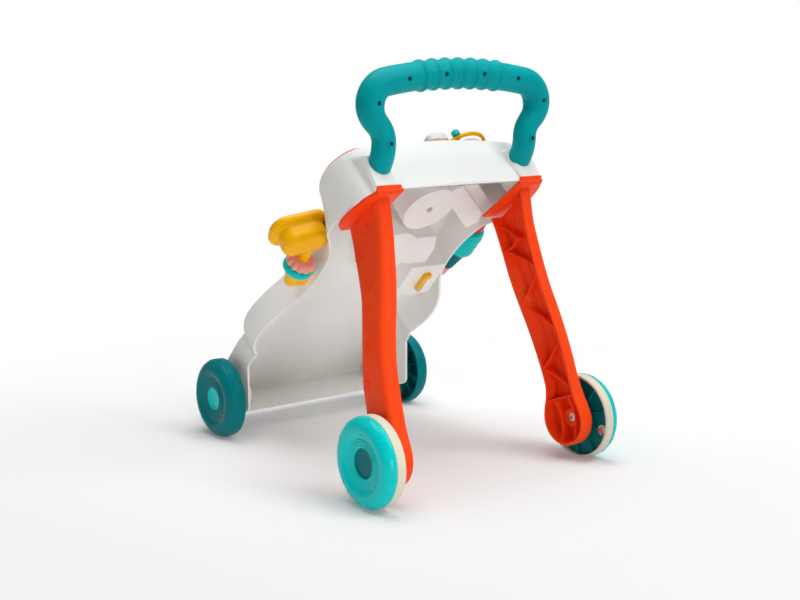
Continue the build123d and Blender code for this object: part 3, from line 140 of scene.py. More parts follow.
# the finish of each of the record's slots: colour, shade, roughness and shine
FINISH = {
    # tub, pods and button: satin ABS with broad soft highlights
    "white_abs": moulded("white_abs_moulded_satin", "#F3F2EF", "#F1F0EC", 0.42, 0.3),
    # handle: satin ABS, deep in colour, with hardly any shine
    "teal_abs": moulded("teal_abs_moulded_satin", "#00A3A8", "#009EA3", 0.4, 0.06),
    # legs: satin ABS with a faint shine along the ribs and rounded edges
    "orange_abs": moulded("orange_abs_moulded_satin", "#FF4C1A", "#FF4818", 0.38, 0.1),
    # rear domes and front hub caps: glossy ABS with crisp highlights along the rolled edge
    "aqua_abs": moulded("aqua_abs_moulded_gloss", "#00CFCD", "#00CAC8", 0.2, 0.16),
    # grip bands: soft TPR, matt
    "cream_abs": moulded("cream_tpr_moulded_matt", "#E2DDC9", "#DDD7C2", 0.55),
    # front wheels and discs: satin ABS that stays dark, with narrow highlights on the steps
    "dark_teal_abs": moulded("dark_teal_abs_moulded_satin", "#00797F", "#007379", 0.3, 0.08),
    # block, cup and clip: glossy ABS with clear highlights on its round edges
    "yellow_abs": moulded("yellow_abs_moulded_gloss", "#FFBE00", "#FBB700", 0.2, 0.16),
    # scalloped ring and cone: satin ABS, pale and soft
    "pink_abs": moulded("pink_abs_moulded_satin", "#F3A598", "#EF9E90", 0.40),
    # fascia and cap: satin ABS, strong in colour
    "red_abs": moulded("red_abs_moulded_satin", "#DC2418", "#D62016", 0.38),
    # screws and axles: bright steel
    "steel": plated_steel("zinc_plated_steel_screw", "#C9C8C4", 0.28),
}
for part in frame["record"]["subparts"]:
    node = frame["nodes"][part["node"]]
    node.data.materials.clear()
    node.data.materials.append(FINISH[part["material_slot"]])


# Shape helpers; here and below sizes are in millimetres and angles in degrees

DOUBLE = 0.003
SLIVER = 0.001
SMOOTH_ANGLE = 35.0


def stand(name, data):
    """New object in the scene."""
    item = bpy.data.objects.new(name, data)
    bpy.context.scene.collection.objects.link(item)
    return item


def baked(work):
    """Plain mesh of an object with its modifiers applied; the object is removed."""
    graph = bpy.context.evaluated_depsgraph_get()
    mesh = bpy.data.meshes.new_from_object(work.evaluated_get(graph))
    work.modifiers.clear()
    bpy.data.objects.remove(work)
    return mesh


def placed(points):
    """Millimetres from the floor under the rear axle, to metres in the part's frame."""
    return [(x * MM, (y + REAR_AXLE_Y) * MM, z * MM) for x, y, z in points]


def skin(loops, closed=True):
    """Quads between neighbouring loops of equal length."""
    count = len(loops[0])
    faces = []
    for i in range(len(loops) - 1):
        low, high = i * count, (i + 1) * count
        for j in range(count if closed else count - 1):
            k = (j + 1) % count
            faces.append((low + j, low + k, high + k, high + j))
    return [p for loop in loops for p in loop], faces


def joined(*shapes):
    """One list of points and faces from several."""
    points, faces = [], []
    for more_points, more_faces in shapes:
        start = len(points)
        points += more_points
        faces += [tuple(i + start for i in face) for face in more_faces]
    return points, faces


def capped(loops):
    """Skin over closed loops, with flat ends."""
    points, faces = skin(loops)
    count = len(loops[0])
    last = len(points) - count
    return points, faces + [tuple(range(count)), tuple(range(last, last + count))]


def round_turns(count):
    """Angles once round, with the first again at the end."""
    return [2 * pi * (i % count) / count for i in range(count + 1)]


def turned(profile, y, z, side=1, count=112):
    """Closed profile of (x, r) turned about the axle at y, z; side -1 is the left of the object."""
    loops = []
    for turn in round_turns(count):
        loops.append([(side * x, y + r * cos(turn), z + r * sin(turn)) for x, r in profile])
    return skin(loops)


def turned_y(profile, x, z, count=28):
    """Closed profile of (y, r) turned about a line along Y."""
    loops = []
    for turn in round_turns(count):
        loops.append([(x + r * cos(turn), y, z + r * sin(turn)) for y, r in profile])
    return skin(loops)


def arc(centre, radius_a, radius_b, first, last, count=8):
    """Points on an elliptic arc between two angles in degrees."""
    turns = [radians(first + (last - first) * i / (count - 1)) for i in range(count)]
    return [(centre[0] + radius_a * cos(t), centre[1] + radius_b * sin(t)) for t in turns]


def rounded_box(low, high, radius, inset=0.0, count=7):
    """Points round a box between two corners, moved inwards."""
    left, right = low[0] + radius, high[0] - radius
    bottom, top = low[1] + radius, high[1] - radius
    reach = radius - inset
    points = []
    centres = ((left, bottom), (right, bottom), (right, top), (left, top))
    for centre, first in zip(centres, (180, 270, 0, 90)):
        points += arc(centre, reach, reach, first, first + 90, count)
    return points


def both_sides(half):
    """Half of a rib's section, then its mirror image."""
    return half + [(x, -w) for x, w in half[::-1]]


def smooth_line(points, per_span=8):
    """Catmull-Rom curve through the points."""
    ends = [points[0], *points, points[-1]]
    line = []
    for a, b, c, d in zip(ends, ends[1:], ends[2:], ends[3:]):
        for i in range(per_span):
            t = i / per_span
            weights = (-0.5 * t + t * t - 0.5 * t ** 3, 1 - 2.5 * t * t + 1.5 * t ** 3,
                       0.5 * t + 2 * t * t - 1.5 * t ** 3, -0.5 * t * t + 0.5 * t ** 3)
            near = list(zip(weights, (a, b, c, d)))
            line.append(tuple(sum(w * p[k] for w, p in near) for k in range(len(b))))
    return line + [tuple(points[-1])]


def even_points(line, count):
    """The line's points, spaced evenly along it."""
    reach = [0.0]
    for p, q in zip(line, line[1:]):
        reach.append(reach[-1] + (Vector(q) - Vector(p)).length)
    out = []
    span = 0
    for i in range(count):
        target = reach[-1] * i / (count - 1)
        while span < len(line) - 2 and reach[span + 1] < target:
            span += 1
        share = (target - reach[span]) / (reach[span + 1] - reach[span])
        out.append(tuple(p + (q - p) * share for p, q in zip(line[span], line[span + 1])))
    return out


def inset_line(line, amount):
    """A 2D line moved to its left by amount."""
    moved = []
    for i, (u, v) in enumerate(line):
        du = line[min(i + 1, len(line) - 1)][0] - line[max(i - 1, 0)][0]
        dv = line[min(i + 1, len(line) - 1)][1] - line[max(i - 1, 0)][1]
        run = hypot(du, dv)
        moved.append((u - amount * dv / run, v + amount * du / run))
    return moved


def mend(mesh, drop_slivers=False):
    """Merges doubles, drops slivers if asked to, and points faces outwards."""
    bm = bmesh.new()
    bm.from_mesh(mesh)
    bmesh.ops.remove_doubles(bm, verts=bm.verts, dist=DOUBLE * MM)
    if drop_slivers:
        bmesh.ops.dissolve_degenerate(bm, edges=bm.edges, dist=SLIVER * MM)
    bmesh.ops.recalc_face_normals(bm, faces=bm.faces)
    bm.to_mesh(mesh)
    bm.free()


def settle(name, mesh, body, slot, nodes=(), sharp=SMOOTH_ANGLE):
    """Mends a mesh, shades it smooth up to an angle, and puts the piece on its body."""
    mend(mesh, drop_slivers=True)
    mesh.shade_smooth()
    mesh.set_sharp_from_angle(angle=radians(sharp))
    mesh.materials.clear()
    mesh.materials.append(FINISH[slot])
    piece = stand(name, mesh)
    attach(piece, body)
    if nodes:
        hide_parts(*nodes)


def mesh_of(name, shape):
    """Mesh of a shape drawn from the floor under the rear axle."""
    mesh = bpy.data.meshes.new(name)
    points, faces = shape
    mesh.from_pydata(placed(points), [], faces)
    return mesh


def piece_of(name, shape, body, slot, nodes=(), sharp=SMOOTH_ANGLE):
    """Piece of a shape drawn from the floor under the rear axle."""
    settle(name, mesh_of(name, shape), body, slot, nodes, sharp)


# Handle: two half shells on one bent centre line, with a ringed grip and screw holes at the back

HANDLE_Y = 49.0
HANDLE_CROWN_Z = 453.3
HANDLE_GRIP_R = 15.6
HANDLE_FOOT_R = 13.3
HANDLE_WALL = 2.5
GRIP_ARC_R = 565.0
GRIP_HALF = 98.5
CORNER_R = 25.0
CORNER_LEAN = 42.0
CORNER_RUN = 7.0
NECK_R = 26.0
FOOT_BEND_R = 40.0
FOOT_BEND = 34.0
FOOT_RUN = 20.0
GRIP_BEADS = 7
BEAD_PITCH = 17.8
BEAD_CREASE = 3.2
BEAD_RUN_UP = 5.4
BEAD_RISE = 2.0
PARTING_GROOVE = 0.3
HANDLE_HOLES = [(26.9, 452.4), (77.4, 447.8), (117.7, 422.6), (101.5, 380.0)]
HANDLE_HOLE_R = 2.5
HANDLE_BOSS_R = 4.4
HANDLE_BOSS_BITE = 1.0
# depth below the tube's surface and radius of the pins that cut the holes
HANDLE_HOLE_LINE = [(-4, 0), (-4, 3.6), (0.1, 3.3), (0.7, HANDLE_HOLE_R), (5, HANDLE_HOLE_R), (5, 0)]
HANDLE_SEAT_Y = 43.0
HANDLE_SEAT_T = 1.5
HANDLE_SMOOTH = 40.0
SEAM_EASE = 0.08
BEND_STEP = 2.5
TAPER_FROM = 0.45


def bead_rise(s):
    """Rise of the grip's beads at a distance from the crown: a soft run-up, then a crisp crease."""
    middle = (GRIP_BEADS - 1) / 2
    place = round(max(-middle, min(middle, s / BEAD_PITCH)))
    away = s - place * BEAD_PITCH
    if -BEAD_RUN_UP < away <= 0:
        return BEAD_RISE * (0.5 + 0.5 * cos(pi * away / BEAD_RUN_UP))
    if 0 < away < BEAD_CREASE:
        return BEAD_RISE * (1 - (away / BEAD_CREASE) ** 2) ** 0.5
    return 0.0


def grip_stations():
    """Distances from the crown along the grip, from left to right, closer together over the beads."""
    middle = (GRIP_BEADS - 1) // 2
    places = []
    for bead in range(-middle, middle + 1):
        for i in range(9):
            places.append(bead * BEAD_PITCH - BEAD_RUN_UP * (1 - i / 8))
        for turn in range(10, 91, 10):
            places.append(bead * BEAD_PITCH + BEAD_CREASE * sin(radians(turn)))
    end = GRIP_ARC_R * asin(GRIP_HALF / GRIP_ARC_R)
    bare = places[0] + end
    count = ceil(bare / BEND_STEP)
    start = [-end + bare * i / count for i in range(1, count)]
    tail = [places[-1] + (end - places[-1]) * i / count for i in range(1, count)]
    return start + places + tail


def bend_stations():
    """Right half of the centre line past the grip: distance, point, tangent and front normal."""
    grip = asin(GRIP_HALF / GRIP_ARC_R)
    corner = radians(90 + CORNER_LEAN) - grip
    lean = radians(CORNER_LEAN)
    bend = radians(FOOT_BEND)
    spans = [(CORNER_R * corner, corner, 0), (CORNER_RUN, 0, 0), (NECK_R * lean, -lean, 0),
             (FOOT_BEND_R * bend, 0, bend), (FOOT_RUN, 0, 0)]
    point = Vector((GRIP_HALF, HANDLE_Y, HANDLE_CROWN_Z - GRIP_ARC_R * (1 - cos(grip))))
    s, dip, tilt = GRIP_ARC_R * grip, grip, 0.0

    def heading(down, forward):
        return Vector((cos(down), sin(down) * sin(forward), -sin(down) * cos(forward)))

    stations = []
    for length, turn, nod in spans:
        count = ceil(length / BEND_STEP)
        for _ in range(count):
            stations.append((s, point.copy(), heading(dip, tilt), Vector((0, cos(tilt), sin(tilt)))))
            point += heading(dip + turn / count / 2, tilt + nod / count / 2) * (length / count)
            dip += turn / count
            tilt += nod / count
            s += length / count
    return stations + [(s, point.copy(), heading(dip, tilt), Vector((0, cos(tilt), sin(tilt))))]


def handle_stations():
    """The whole centre line from left to right: point, tangent, front normal and tube radius."""
    middle = []
    for s in grip_stations():
        turn = s / GRIP_ARC_R
        height = HANDLE_CROWN_Z - GRIP_ARC_R * (1 - cos(turn))
        point = Vector((GRIP_ARC_R * sin(turn), HANDLE_Y, height))
        tangent = Vector((cos(turn), 0, -sin(turn)))
        middle.append((point, tangent, Vector((0, 1, 0)), HANDLE_GRIP_R + bead_rise(s)))
    bends = bend_stations()
    first = bends[0][0]
    taper = CORNER_R * radians(90 + CORNER_LEAN) + CORNER_RUN
    right = []
    left = []
    for s, point, tangent, front in bends:
        share = min(1.0, max(0.0, ((s - first) / taper - TAPER_FROM) / (1 - TAPER_FROM)))
        ease = share * share * (3 - 2 * share)
        radius = HANDLE_GRIP_R + (HANDLE_FOOT_R - HANDLE_GRIP_R) * ease
        right.append((point, tangent, front, radius))
        mirrored = Vector((-point.x, point.y, point.z))
        left.insert(0, (mirrored, Vector((tangent.x, -tangent.y, -tangent.z)), front, radius))
    return left + middle + right


def handle_section(front_half):
    """Angles and depths below the tube's surface round one half: outer wall, then inner wall."""
    first = -90 if front_half else 90
    outer = [(first, PARTING_GROOVE), (first + 1.2, SEAM_EASE)]
    outer += [(first + a, 0.0) for a in range(4, 177, 8)]
    outer += [(first + 178.8, SEAM_EASE), (first + 180, PARTING_GROOVE)]
    inner = [(first + a, HANDLE_WALL) for a in range(180, -1, -12)]
    return outer + inner


def handle_half(front_half):
    """One half shell of the tube along its whole centre line."""
    section = handle_section(front_half)
    loops = []
    for point, tangent, front, radius in handle_stations():
        across = tangent.cross(front)
        loop = []
        for angle, depth in section:
            a = radians(angle)
            loop.append(tuple(point + (radius - depth) * (cos(a) * front + sin(a) * across)))
        loops.append(loop)
    return capped(loops)


def at_handle_holes(profile):
    """Profile turned about each of the handle's screw holes."""
    return joined(*[turned_y(profile, side * x, z) for x, z in HANDLE_HOLES for side in (-1, 1)])


def cut(mesh, cutter_shape):
    """The mesh less the cutter's solids."""
    tool = stand("cutter", mesh_of("cutter", cutter_shape))
    work = stand("work", mesh)
    mend(tool.data)
    mend(work.data)
    change = work.modifiers.new("cut", "BOOLEAN")
    change.operation = "DIFFERENCE"
    change.solver = "EXACT"
    change.object = tool
    result = baked(work)
    bpy.data.objects.remove(tool)
    return result


def make_handle():
    """Both half shells, and the bosses under the screw holes of the back one."""
    piece_of("handle_front", handle_half(True), "frame", "teal_abs", ["handle_front_half"], HANDLE_SMOOTH)
    surface = HANDLE_Y - HANDLE_GRIP_R
    pins = at_handle_holes([(surface + depth, r) for depth, r in HANDLE_HOLE_LINE])
    back = cut(mesh_of("handle_back", handle_half(False)), pins)
    settle("handle_back", back, "frame", "teal_abs", ["handle_back_half"], HANDLE_SMOOTH)
    wall_in = surface + HANDLE_WALL - HANDLE_BOSS_BITE
    seat = HANDLE_SEAT_Y + HANDLE_SEAT_T
    boss = [(wall_in, HANDLE_HOLE_R), (wall_in, HANDLE_BOSS_R), (seat, HANDLE_BOSS_R), (seat, 0),
            (HANDLE_SEAT_Y, 0), (HANDLE_SEAT_Y, HANDLE_HOLE_R)]
    piece_of("handle_screw_bosses", at_handle_holes(boss), "frame", "teal_abs")


# Legs: open channels with a rounded outer edge, ribs inside, a bulb round the axle and a flange on top

LEG_WALL = 3.0
LEG_EDGE_R = 7.6
AXLE_Z = 50.0
# height, inner side and outer side of the right leg
LEG_SIDES = [(0, 124, 145.6), (50, 124, 145.6), (80, 122.7, 143.6), (100, 121.8, 141),
             (125, 120.6, 139.5), (150, 118.3, 137), (180, 112.6, 131.5), (210, 105.2, 124.3),
             (240, 100.2, 118.8), (270, 96.5, 115), (290, 95, 113.3), (345, 95, 113)]
# back and front edges in y, z from the flange down to the bottom of the bulb
LEG_BACK = [(46.9, 321.5), (43.6, 305), (41, 290), (36.6, 270), (28.8, 240), (21.4, 210), (13, 180),
            (4, 150), (-4.2, 125), (-12, 101), (-20, 80.5), (-27.4, 66.5), (-31.4, 55.5), (-31.5, 44.4),
            (-27.7, 34), (-20.6, 25.5), (-10.9, 19.9), (0, 18)]
LEG_FRONT = [(99.8, 281), (93.5, 269), (83.7, 240), (75.7, 210), (67.6, 180), (56.2, 150), (45.3, 125),
             (35, 101), (28.8, 82), (29.2, 69), (31.4, 57), (31.7, 45), (28.7, 35.5), (22, 26.7),
             (11.5, 20.1), (0, 18)]
# height and how far the front wall slants back at the outer side
LEG_SLANT = [(0, 0), (100, 0), (125, 4), (150, 10.5), (180, 15), (210, 12), (240, 4.5), (270, 0),
             (345, 0)]
LEG_ROWS = 64
LEG_COLUMNS = 6
LEG_SMOOTH = 32.0
CHANNEL_FILLET = 2.0
CHANNEL_FILLET_MIDDLE = 0.6
RIM_EDGE = 0.5
RIB_STEPS = 12
RIB_HALF = 0.8
RIB_ROOT = 1.0
RIB_DROP = 1.6
RIB_DIP = 5.5
RIB_BITE = 2.7
BULB_RIB_DIP = 6.5
CREST_RISE = 1.2
# ends in y, z of the zigzag ribs, the bulb's ribs and the low line along the floor
LEG_RIBS = [(100, 275), (58, 262), (80, 243), (26, 229), (68, 180), (3, 154), (36, 105), (-19, 84),
            (29, 66)]
BULB_RIBS = [((16, 69), (3, 20)), ((-8.6, 77), (-17, 23))]
CREST_LINE = [(76, 283), (55, 225), (36, 165), (17, 110), (7, 78)]
# the shoulder's rim, from the roof's corner forwards
RIM_LINE = (Vector((0, 39.0, 331.0)), Vector((0, 98.0, 289.0)))
FLANGE_T = 3.2
FLANGE_INNER_X = 84.0
# distance along the shoulder's rim and outer side of the flange
FLANGE_EDGE = [(-2.5, 118.8), (4, 121.2), (12, 125.2), (29, 130.3), (47, 133.2), (62, 131.6),
               (72, 127.5), (79, 121)]
# depth and inset of the flange's rounded edge
FLANGE_ROUND = [(0.0, 0.4), (0.3, 0), (FLANGE_T - 1, 0), (FLANGE_T - 0.3, 0.3), (FLANGE_T, 1.0)]
LIP_X = (86.0, 118.6)
LIP_Z = (326.0, 336.2)
LIP_Y = (36.8, 39.4)
LIP_CORNER_R = 2
AXLE_BOSS_R = 11.5
AXLE_BOSS_RISE = 5.0
AXLE_HOLE_R = 4.9
# y, z and radius of the ring moulded on the outer side
RING_MARK = (65.6, 286.0, 5.4)
# y, z, radius and turn of the star outlines moulded on the outer side
STAR_MARKS = [(76.5, 255, 6.4, 12), (50.5, 231.2, 8.4, 8), (46.7, 200.6, 5.4, -10),
              (31.5, 167, 8.2, 10), (31.0, 126.2, 7.8, -8)]
STAR_POINTS = 5
STAR_INNER = 0.52
MARK_WIDTH = 1.3
# share of the width, and rise, across a raised line
MARK_SECTION = [(0.5, -0.3), (0.34, 0.7), (-0.34, 0.7), (-0.5, -0.3)]


def at_height(table, z):
    """Values of a table at a height; the table's rows start with a height and rise or fall."""
    rows = table if table[0][0] < table[-1][0] else table[::-1]
    for low, high in zip(rows, rows[1:]):
        if z <= high[0]:
            share = max(0.0, (z - low[0]) / (high[0] - low[0]))
            return [a + (b - a) * share for a, b in zip(low[1:], high[1:])]
    return list(rows[-1][1:])


SIDE_TABLE = smooth_line(LEG_SIDES, 6)
SLANT_TABLE = smooth_line(LEG_SLANT, 6)
BACK_TABLE = [(z, y) for y, z in smooth_line(LEG_BACK)]
FRONT_TABLE = [(z, y) for y, z in smooth_line(LEG_FRONT)]


def leg_x(z):
    """Inner and outer side of the right leg at a height."""
    return at_height(SIDE_TABLE, z)


def front_slant(x, z):
    """How far the front wall lies back at this depth in the channel."""
    inner, outer = leg_x(z)
    return at_height(SLANT_TABLE, z)[0] * (x - inner) / (outer - inner)


def leg_outline():
    """Round the leg from the flange down its back, and up its front."""
    back = even_points(smooth_line(LEG_BACK), LEG_ROWS)
    front = even_points(smooth_line(LEG_FRONT), LEG_ROWS)
    return back + front[-2::-1]


def leg_loop(line, inset, from_inner=None, from_outer=None):
    """Outline moved inwards, at a depth measured from the leg's inner or outer side."""
    loop = []
    for i, (y, z) in enumerate(inset_line(line, inset)):
        inner, outer = leg_x(z)
        x = inner + from_inner if from_inner is not None else outer - from_outer
        slant = front_slant(x, z) if i >= LEG_ROWS else 0.0
        loop.append((x, y - slant, z))
    return loop


def leg_web(loop, from_outer):
    """Face between the back and front halves of a loop."""
    rows = []
    last = len(loop) - 1
    for i in range(LEG_ROWS):
        (_, y0, z0), (_, y1, z1) = loop[i], loop[last - i]
        row = []
        for j in range(LEG_COLUMNS + 1):
            share = j / LEG_COLUMNS
            z = z0 + (z1 - z0) * share
            row.append((leg_x(z)[1] - from_outer, y0 + (y1 - y0) * share, z))
        rows.append(row)
    return skin(rows, closed=False), rows[0]


def leg_channel():
    """The U-channel: inner floor, inner wall, rim, outer wall, rounded edge and outer side."""
    line = leg_outline()
    w, r = LEG_WALL, LEG_EDGE_R
    far, middle = w + CHANNEL_FILLET, w + CHANNEL_FILLET_MIDDLE
    loops = [leg_loop(line, far, from_outer=w), leg_loop(line, middle, from_outer=middle),
             leg_loop(line, w, from_outer=far), leg_loop(line, w, from_inner=RIM_EDGE),
             leg_loop(line, w - RIM_EDGE, from_inner=0.0), leg_loop(line, RIM_EDGE, from_inner=0.0),
             leg_loop(line, 0.0, from_inner=RIM_EDGE)]
    for turn in range(0, 91, 15):
        a = radians(turn)
        loops.append(leg_loop(line, r * (1 - cos(a)), from_outer=r * (1 - sin(a))))
    floor, floor_top = leg_web(loops[0], w)
    side, side_top = leg_web(loops[-1], 0.0)
    end = [loop[0] for loop in loops] + side_top[1:-1]
    end += [loop[-1] for loop in loops[::-1]] + floor_top[-2:0:-1]
    return joined(skin(loops, closed=False), floor, side, (end, [tuple(range(len(end)))]))


def leg_rib(start, end, dip=RIB_DIP, rise=None):
    """Thin rib across the channel; its free edge dips, or stands a set rise above the floor."""
    run = Vector((end[0] - start[0], end[1] - start[1])).normalized()
    across = Vector((-run.y, run.x))
    loops = []
    for i in range(RIB_STEPS + 1):
        share = i / RIB_STEPS
        y = start[0] + (end[0] - start[0]) * share
        z = start[1] + (end[1] - start[1]) * share
        inner, outer = leg_x(z)
        foot = outer - LEG_WALL + RIB_ROOT
        drop = RIB_DROP + dip * 4 * share * (1 - share)
        top = inner + drop if rise is None else outer - LEG_WALL - rise
        loop = []
        for x, w in both_sides([(foot, 1.35), (top + 0.4, 1.0), (top, 0.55)]):
            loop.append(within_leg(x, y + across.x * w * RIB_HALF, z + across.y * w * RIB_HALF))
        loops.append(loop)
    return capped(loops)


def within_leg(x, y, z):
    """The point, moved so that it ends inside the leg's back or front wall."""
    back = at_height(BACK_TABLE, z)[0] + RIB_BITE
    front = at_height(FRONT_TABLE, z)[0] - front_slant(x, z) - RIB_BITE
    return (x, min(front, max(back, y)), z)


def leg_flange():
    """Plate under the shoulder's rim, with its outer side along the rim and rounded edges."""
    start, end = RIM_LINE
    run = (end - start).normalized()
    down = Vector((0, run.z, -run.y))
    outer = smooth_line(FLANGE_EDGE, 6)
    far = FLANGE_EDGE[-1][0]
    near = FLANGE_EDGE[0][0]
    inner = [(far - 2 + (near - far + 2) * i / 8, FLANGE_INNER_X) for i in range(9)]
    line = outer + [(far - 0.6, FLANGE_EDGE[-1][1] - 8)] + inner
    middle = Vector((sum(u for u, _ in line), sum(x for _, x in line))) / len(line)
    loops = []
    for depth, inset in FLANGE_ROUND:
        loop = []
        for u, x in line:
            inwards = (middle - Vector((u, x))).normalized() * inset
            point = start + run * (u + inwards.x) + down * depth
            loop.append((x + inwards.y, point.y, point.z))
        loops.append(loop)
    return capped(loops)


def flange_lip():
    """Low wall behind the rim of the roof, at the top of the leg."""
    low, high = zip(LIP_X, LIP_Z)
    back, front = LIP_Y
    loops = []
    for y, inset in ((front, 0), (back + 0.8, 0), (back + 0.2, 0.3), (back, 0.9)):
        loops.append([(x, y, z) for x, z in rounded_box(low, high, LIP_CORNER_R, inset)])
    return capped(loops)


def axle_boss():
    """Dished boss in the bulb round the axle's screw."""
    floor = leg_x(AXLE_Z)[1] - LEG_WALL
    top = floor - AXLE_BOSS_RISE
    profile = [(floor + 1, AXLE_HOLE_R), (top + 1.6, AXLE_HOLE_R), (top + 1.3, AXLE_HOLE_R + 0.4),
               (top + 0.3, AXLE_BOSS_R - 2.5), (top, AXLE_BOSS_R - 1.6), (top, AXLE_BOSS_R - 0.9),
               (top + 0.6, AXLE_BOSS_R - 0.2), (floor + 1, AXLE_BOSS_R)]
    return turned(profile, 0, AXLE_Z, 1, 64)


def side_x(y, z):
    """Outer side of the leg at a point, with the rounding along its back and front edges."""
    outer = leg_x(z)[1]
    from_back = y - at_height(BACK_TABLE, z)[0]
    from_front = at_height(FRONT_TABLE, z)[0] - front_slant(outer, z) - y
    into = LEG_EDGE_R - max(0.0, min(from_back, from_front))
    if into <= 0:
        return outer
    return outer - LEG_EDGE_R + (LEG_EDGE_R ** 2 - into ** 2) ** 0.5


def raised_outline(corners, centre_y, centre_z):
    """Raised line along a closed figure on the outer side; corners are in y, z from its centre."""
    loops = []
    for width, rise in MARK_SECTION:
        loop = []
        for y, z in corners:
            reach = hypot(y, z)
            scale = (reach + width * MARK_WIDTH) / reach
            along, height = centre_y + y * scale, centre_z + z * scale
            loop.append((side_x(along, height) + rise, along, height))
        loops.append(loop)
    return skin(loops + loops[:1])


def leg_marks():
    """The ring and the stars on the outer side."""
    y, z, r = RING_MARK
    shapes = [raised_outline(arc((0, 0), r, r, 0, 352.5, 48), y, z)]
    for y, z, r, turn in STAR_MARKS:
        corners = []
        for i in range(2 * STAR_POINTS):
            reach = r if i % 2 == 0 else r * STAR_INNER
            a = radians(90 + turn + 180 / STAR_POINTS * i)
            corners.append((reach * cos(a), reach * sin(a)))
        shapes.append(raised_outline(corners, y, z))
    return joined(*shapes)


def sided(shape, side):
    """The shape on its own side of the object."""
    points, faces = shape
    return [(side * x, y, z) for x, y, z in points], faces


def make_leg(name, side):
    """One leg, drawn as the right one."""
    ribs = [leg_rib(a, b) for a, b in zip(LEG_RIBS, LEG_RIBS[1:])]
    ribs += [leg_rib(a, b, BULB_RIB_DIP) for a, b in BULB_RIBS]
    ribs += [leg_rib(a, b, rise=CREST_RISE) for a, b in zip(CREST_LINE, CREST_LINE[1:])]
    shape = joined(leg_channel(), *ribs, leg_flange(), flange_lip(), axle_boss(), leg_marks())
    piece_of(name + "_channel", sided(shape, side), "frame", "orange_abs", [name], LEG_SMOOTH)


# Wheels: turned shells with tread pads, ribs and lugs repeated round the axle

REAR_R = 50.0
REAR_INNER_X = 147.1
GRIP_RING_W = 11.3
GRIP_WALL = 3.0
GRIP_FLANGE_R = 34.0
GRIP_FLANGE_T = 3.0
REAR_BASE_X = REAR_INNER_X + GRIP_RING_W
DOME_W = 13.2
DOME_WALL = 2.6
DOME_CREST_R = 37.0
DISC_T = 3.0
DISH_EDGE_R = 33.0
DISH_LIP = 4.0
DISH_DEPTH = 3.2
REAR_DISH_DEPTH = 4.6
REAR_CAP_R = 16.4
RIDGES = 4
RIDGE_STEPS = 8
RIDGE_RISE = 0.5
LUG_COUNT = 3
LUG_R = 6.0
LUG_EDGE = 0.5
LUG_HOLE_R = 1.5
LUG_HOLE_DEPTH = 6.0
LUG_CIRCLE_R = 39.5
LUG_START = -16.0
LUG_FROM_EDGE = 2.6
WHEEL_RIBS = 10
HUB_R = 9.0
HUB_OUT = 1.2
HUB_EDGE = 0.6
AXLE_R = 4.0
RUN_CLEAR = 0.05
WHEEL_BORE = AXLE_R + RUN_CLEAR
REAR_AXLE_END = 163.1
PADS = 16
PAD_LINE = 1.2
# share of the line's width, and height, across a tread pad's raised line
PAD_SECTION = [(0.0, -0.3), (0.04, -0.02), (0.22, 0.8), (0.5, 1.0), (0.78, 0.8), (0.96, -0.02), (1.0, -0.3)]
# middle, length, width and rise of a pad, and the turn of the first
REAR_PAD = (10.4, 15.0, 6.8, 0.35)
REAR_PAD_START = 8
FRONT_PAD = (6.6, 9.4, 13.0, 0.2)
FRONT_PAD_START = 4
WHEELBASE = 341.3
FRONT_R = 49.5
FRONT_INNER_X = 135.7
FRONT_W = 22.2
FRONT_WALL = 3.0
FRONT_CAP_R = 14.6
FRONT_CAP_T = 3.5
FRONT_FLOOR_X = 148.5
# distance from the inner side, and drop, along the stepped shoulder
FRONT_SHOULDER = [(11.2, 0), (12.2, 0.15), (12.9, 0.7), (13.4, 1.1), (14.4, 1.3), (16.2, 2.2), (17.4, 3.2),
                  (18.2, 4.4), (18.9, 5.2), (20.1, 6.6), (21.3, 8.8), (22.0, 11.0)]
WHEEL_SMOOTH = 50.0
CAP_FACETS = 80


def copies_tree():
    """Node tree that repeats a shape round a wheel's axle."""
    tree = bpy.data.node_groups.new("copies_round_axle", "GeometryNodeTree")
    sockets = [("Shape", "Geometry"), ("Copies", "Int"), ("Start", "Float"), ("Axle", "Vector"),
               ("Finish", "Material")]
    for name, kind in sockets:
        tree.interface.new_socket(name, in_out="INPUT", socket_type="NodeSocket" + kind)
    tree.interface.new_socket("Shape", in_out="OUTPUT", socket_type="NodeSocketGeometry")
    given = add(tree, "NodeGroupInput")
    spots = add(tree, "GeometryNodePoints", {}, {},
                [("Count", given, "Copies"), ("Position", given, "Axle")])
    index = add(tree, "GeometryNodeInputIndex")
    step = add(tree, "ShaderNodeMath", {"operation": "DIVIDE"}, {0: 2 * pi}, [(1, given, "Copies")])
    turn = add(tree, "ShaderNodeMath", {"operation": "MULTIPLY_ADD"}, {},
               [(0, index, "Index"), (1, step, "Value"), (2, given, "Start")])
    spin = add(tree, "ShaderNodeCombineXYZ", {}, {}, [("X", turn, "Value")])
    copies = add(tree, "GeometryNodeInstanceOnPoints", {}, {},
                 [("Points", spots, 0), ("Instance", given, "Shape"), ("Rotation", spin, "Vector")])
    solid = add(tree, "GeometryNodeRealizeInstances", {}, {}, [("Geometry", copies, "Instances")])
    dressed = add(tree, "GeometryNodeSetMaterial", {}, {},
                  [("Geometry", solid, "Geometry"), ("Material", given, "Finish")])
    add(tree, "NodeGroupOutput", {}, {}, [("Shape", dressed, "Geometry")])
    return tree


COPIES_ROUND_AXLE = copies_tree()


def grown(mesh, tree, values):
    """Plain mesh that a node tree makes from a mesh; values are the tree's named inputs."""
    work = stand("work", mesh)
    change = work.modifiers.new("grow", "NODES")
    change.node_group = tree
    for item in tree.interface.items_tree:
        if item.in_out == "INPUT" and item.name in values:
            change[item.identifier] = values[item.name]
    return baked(work)


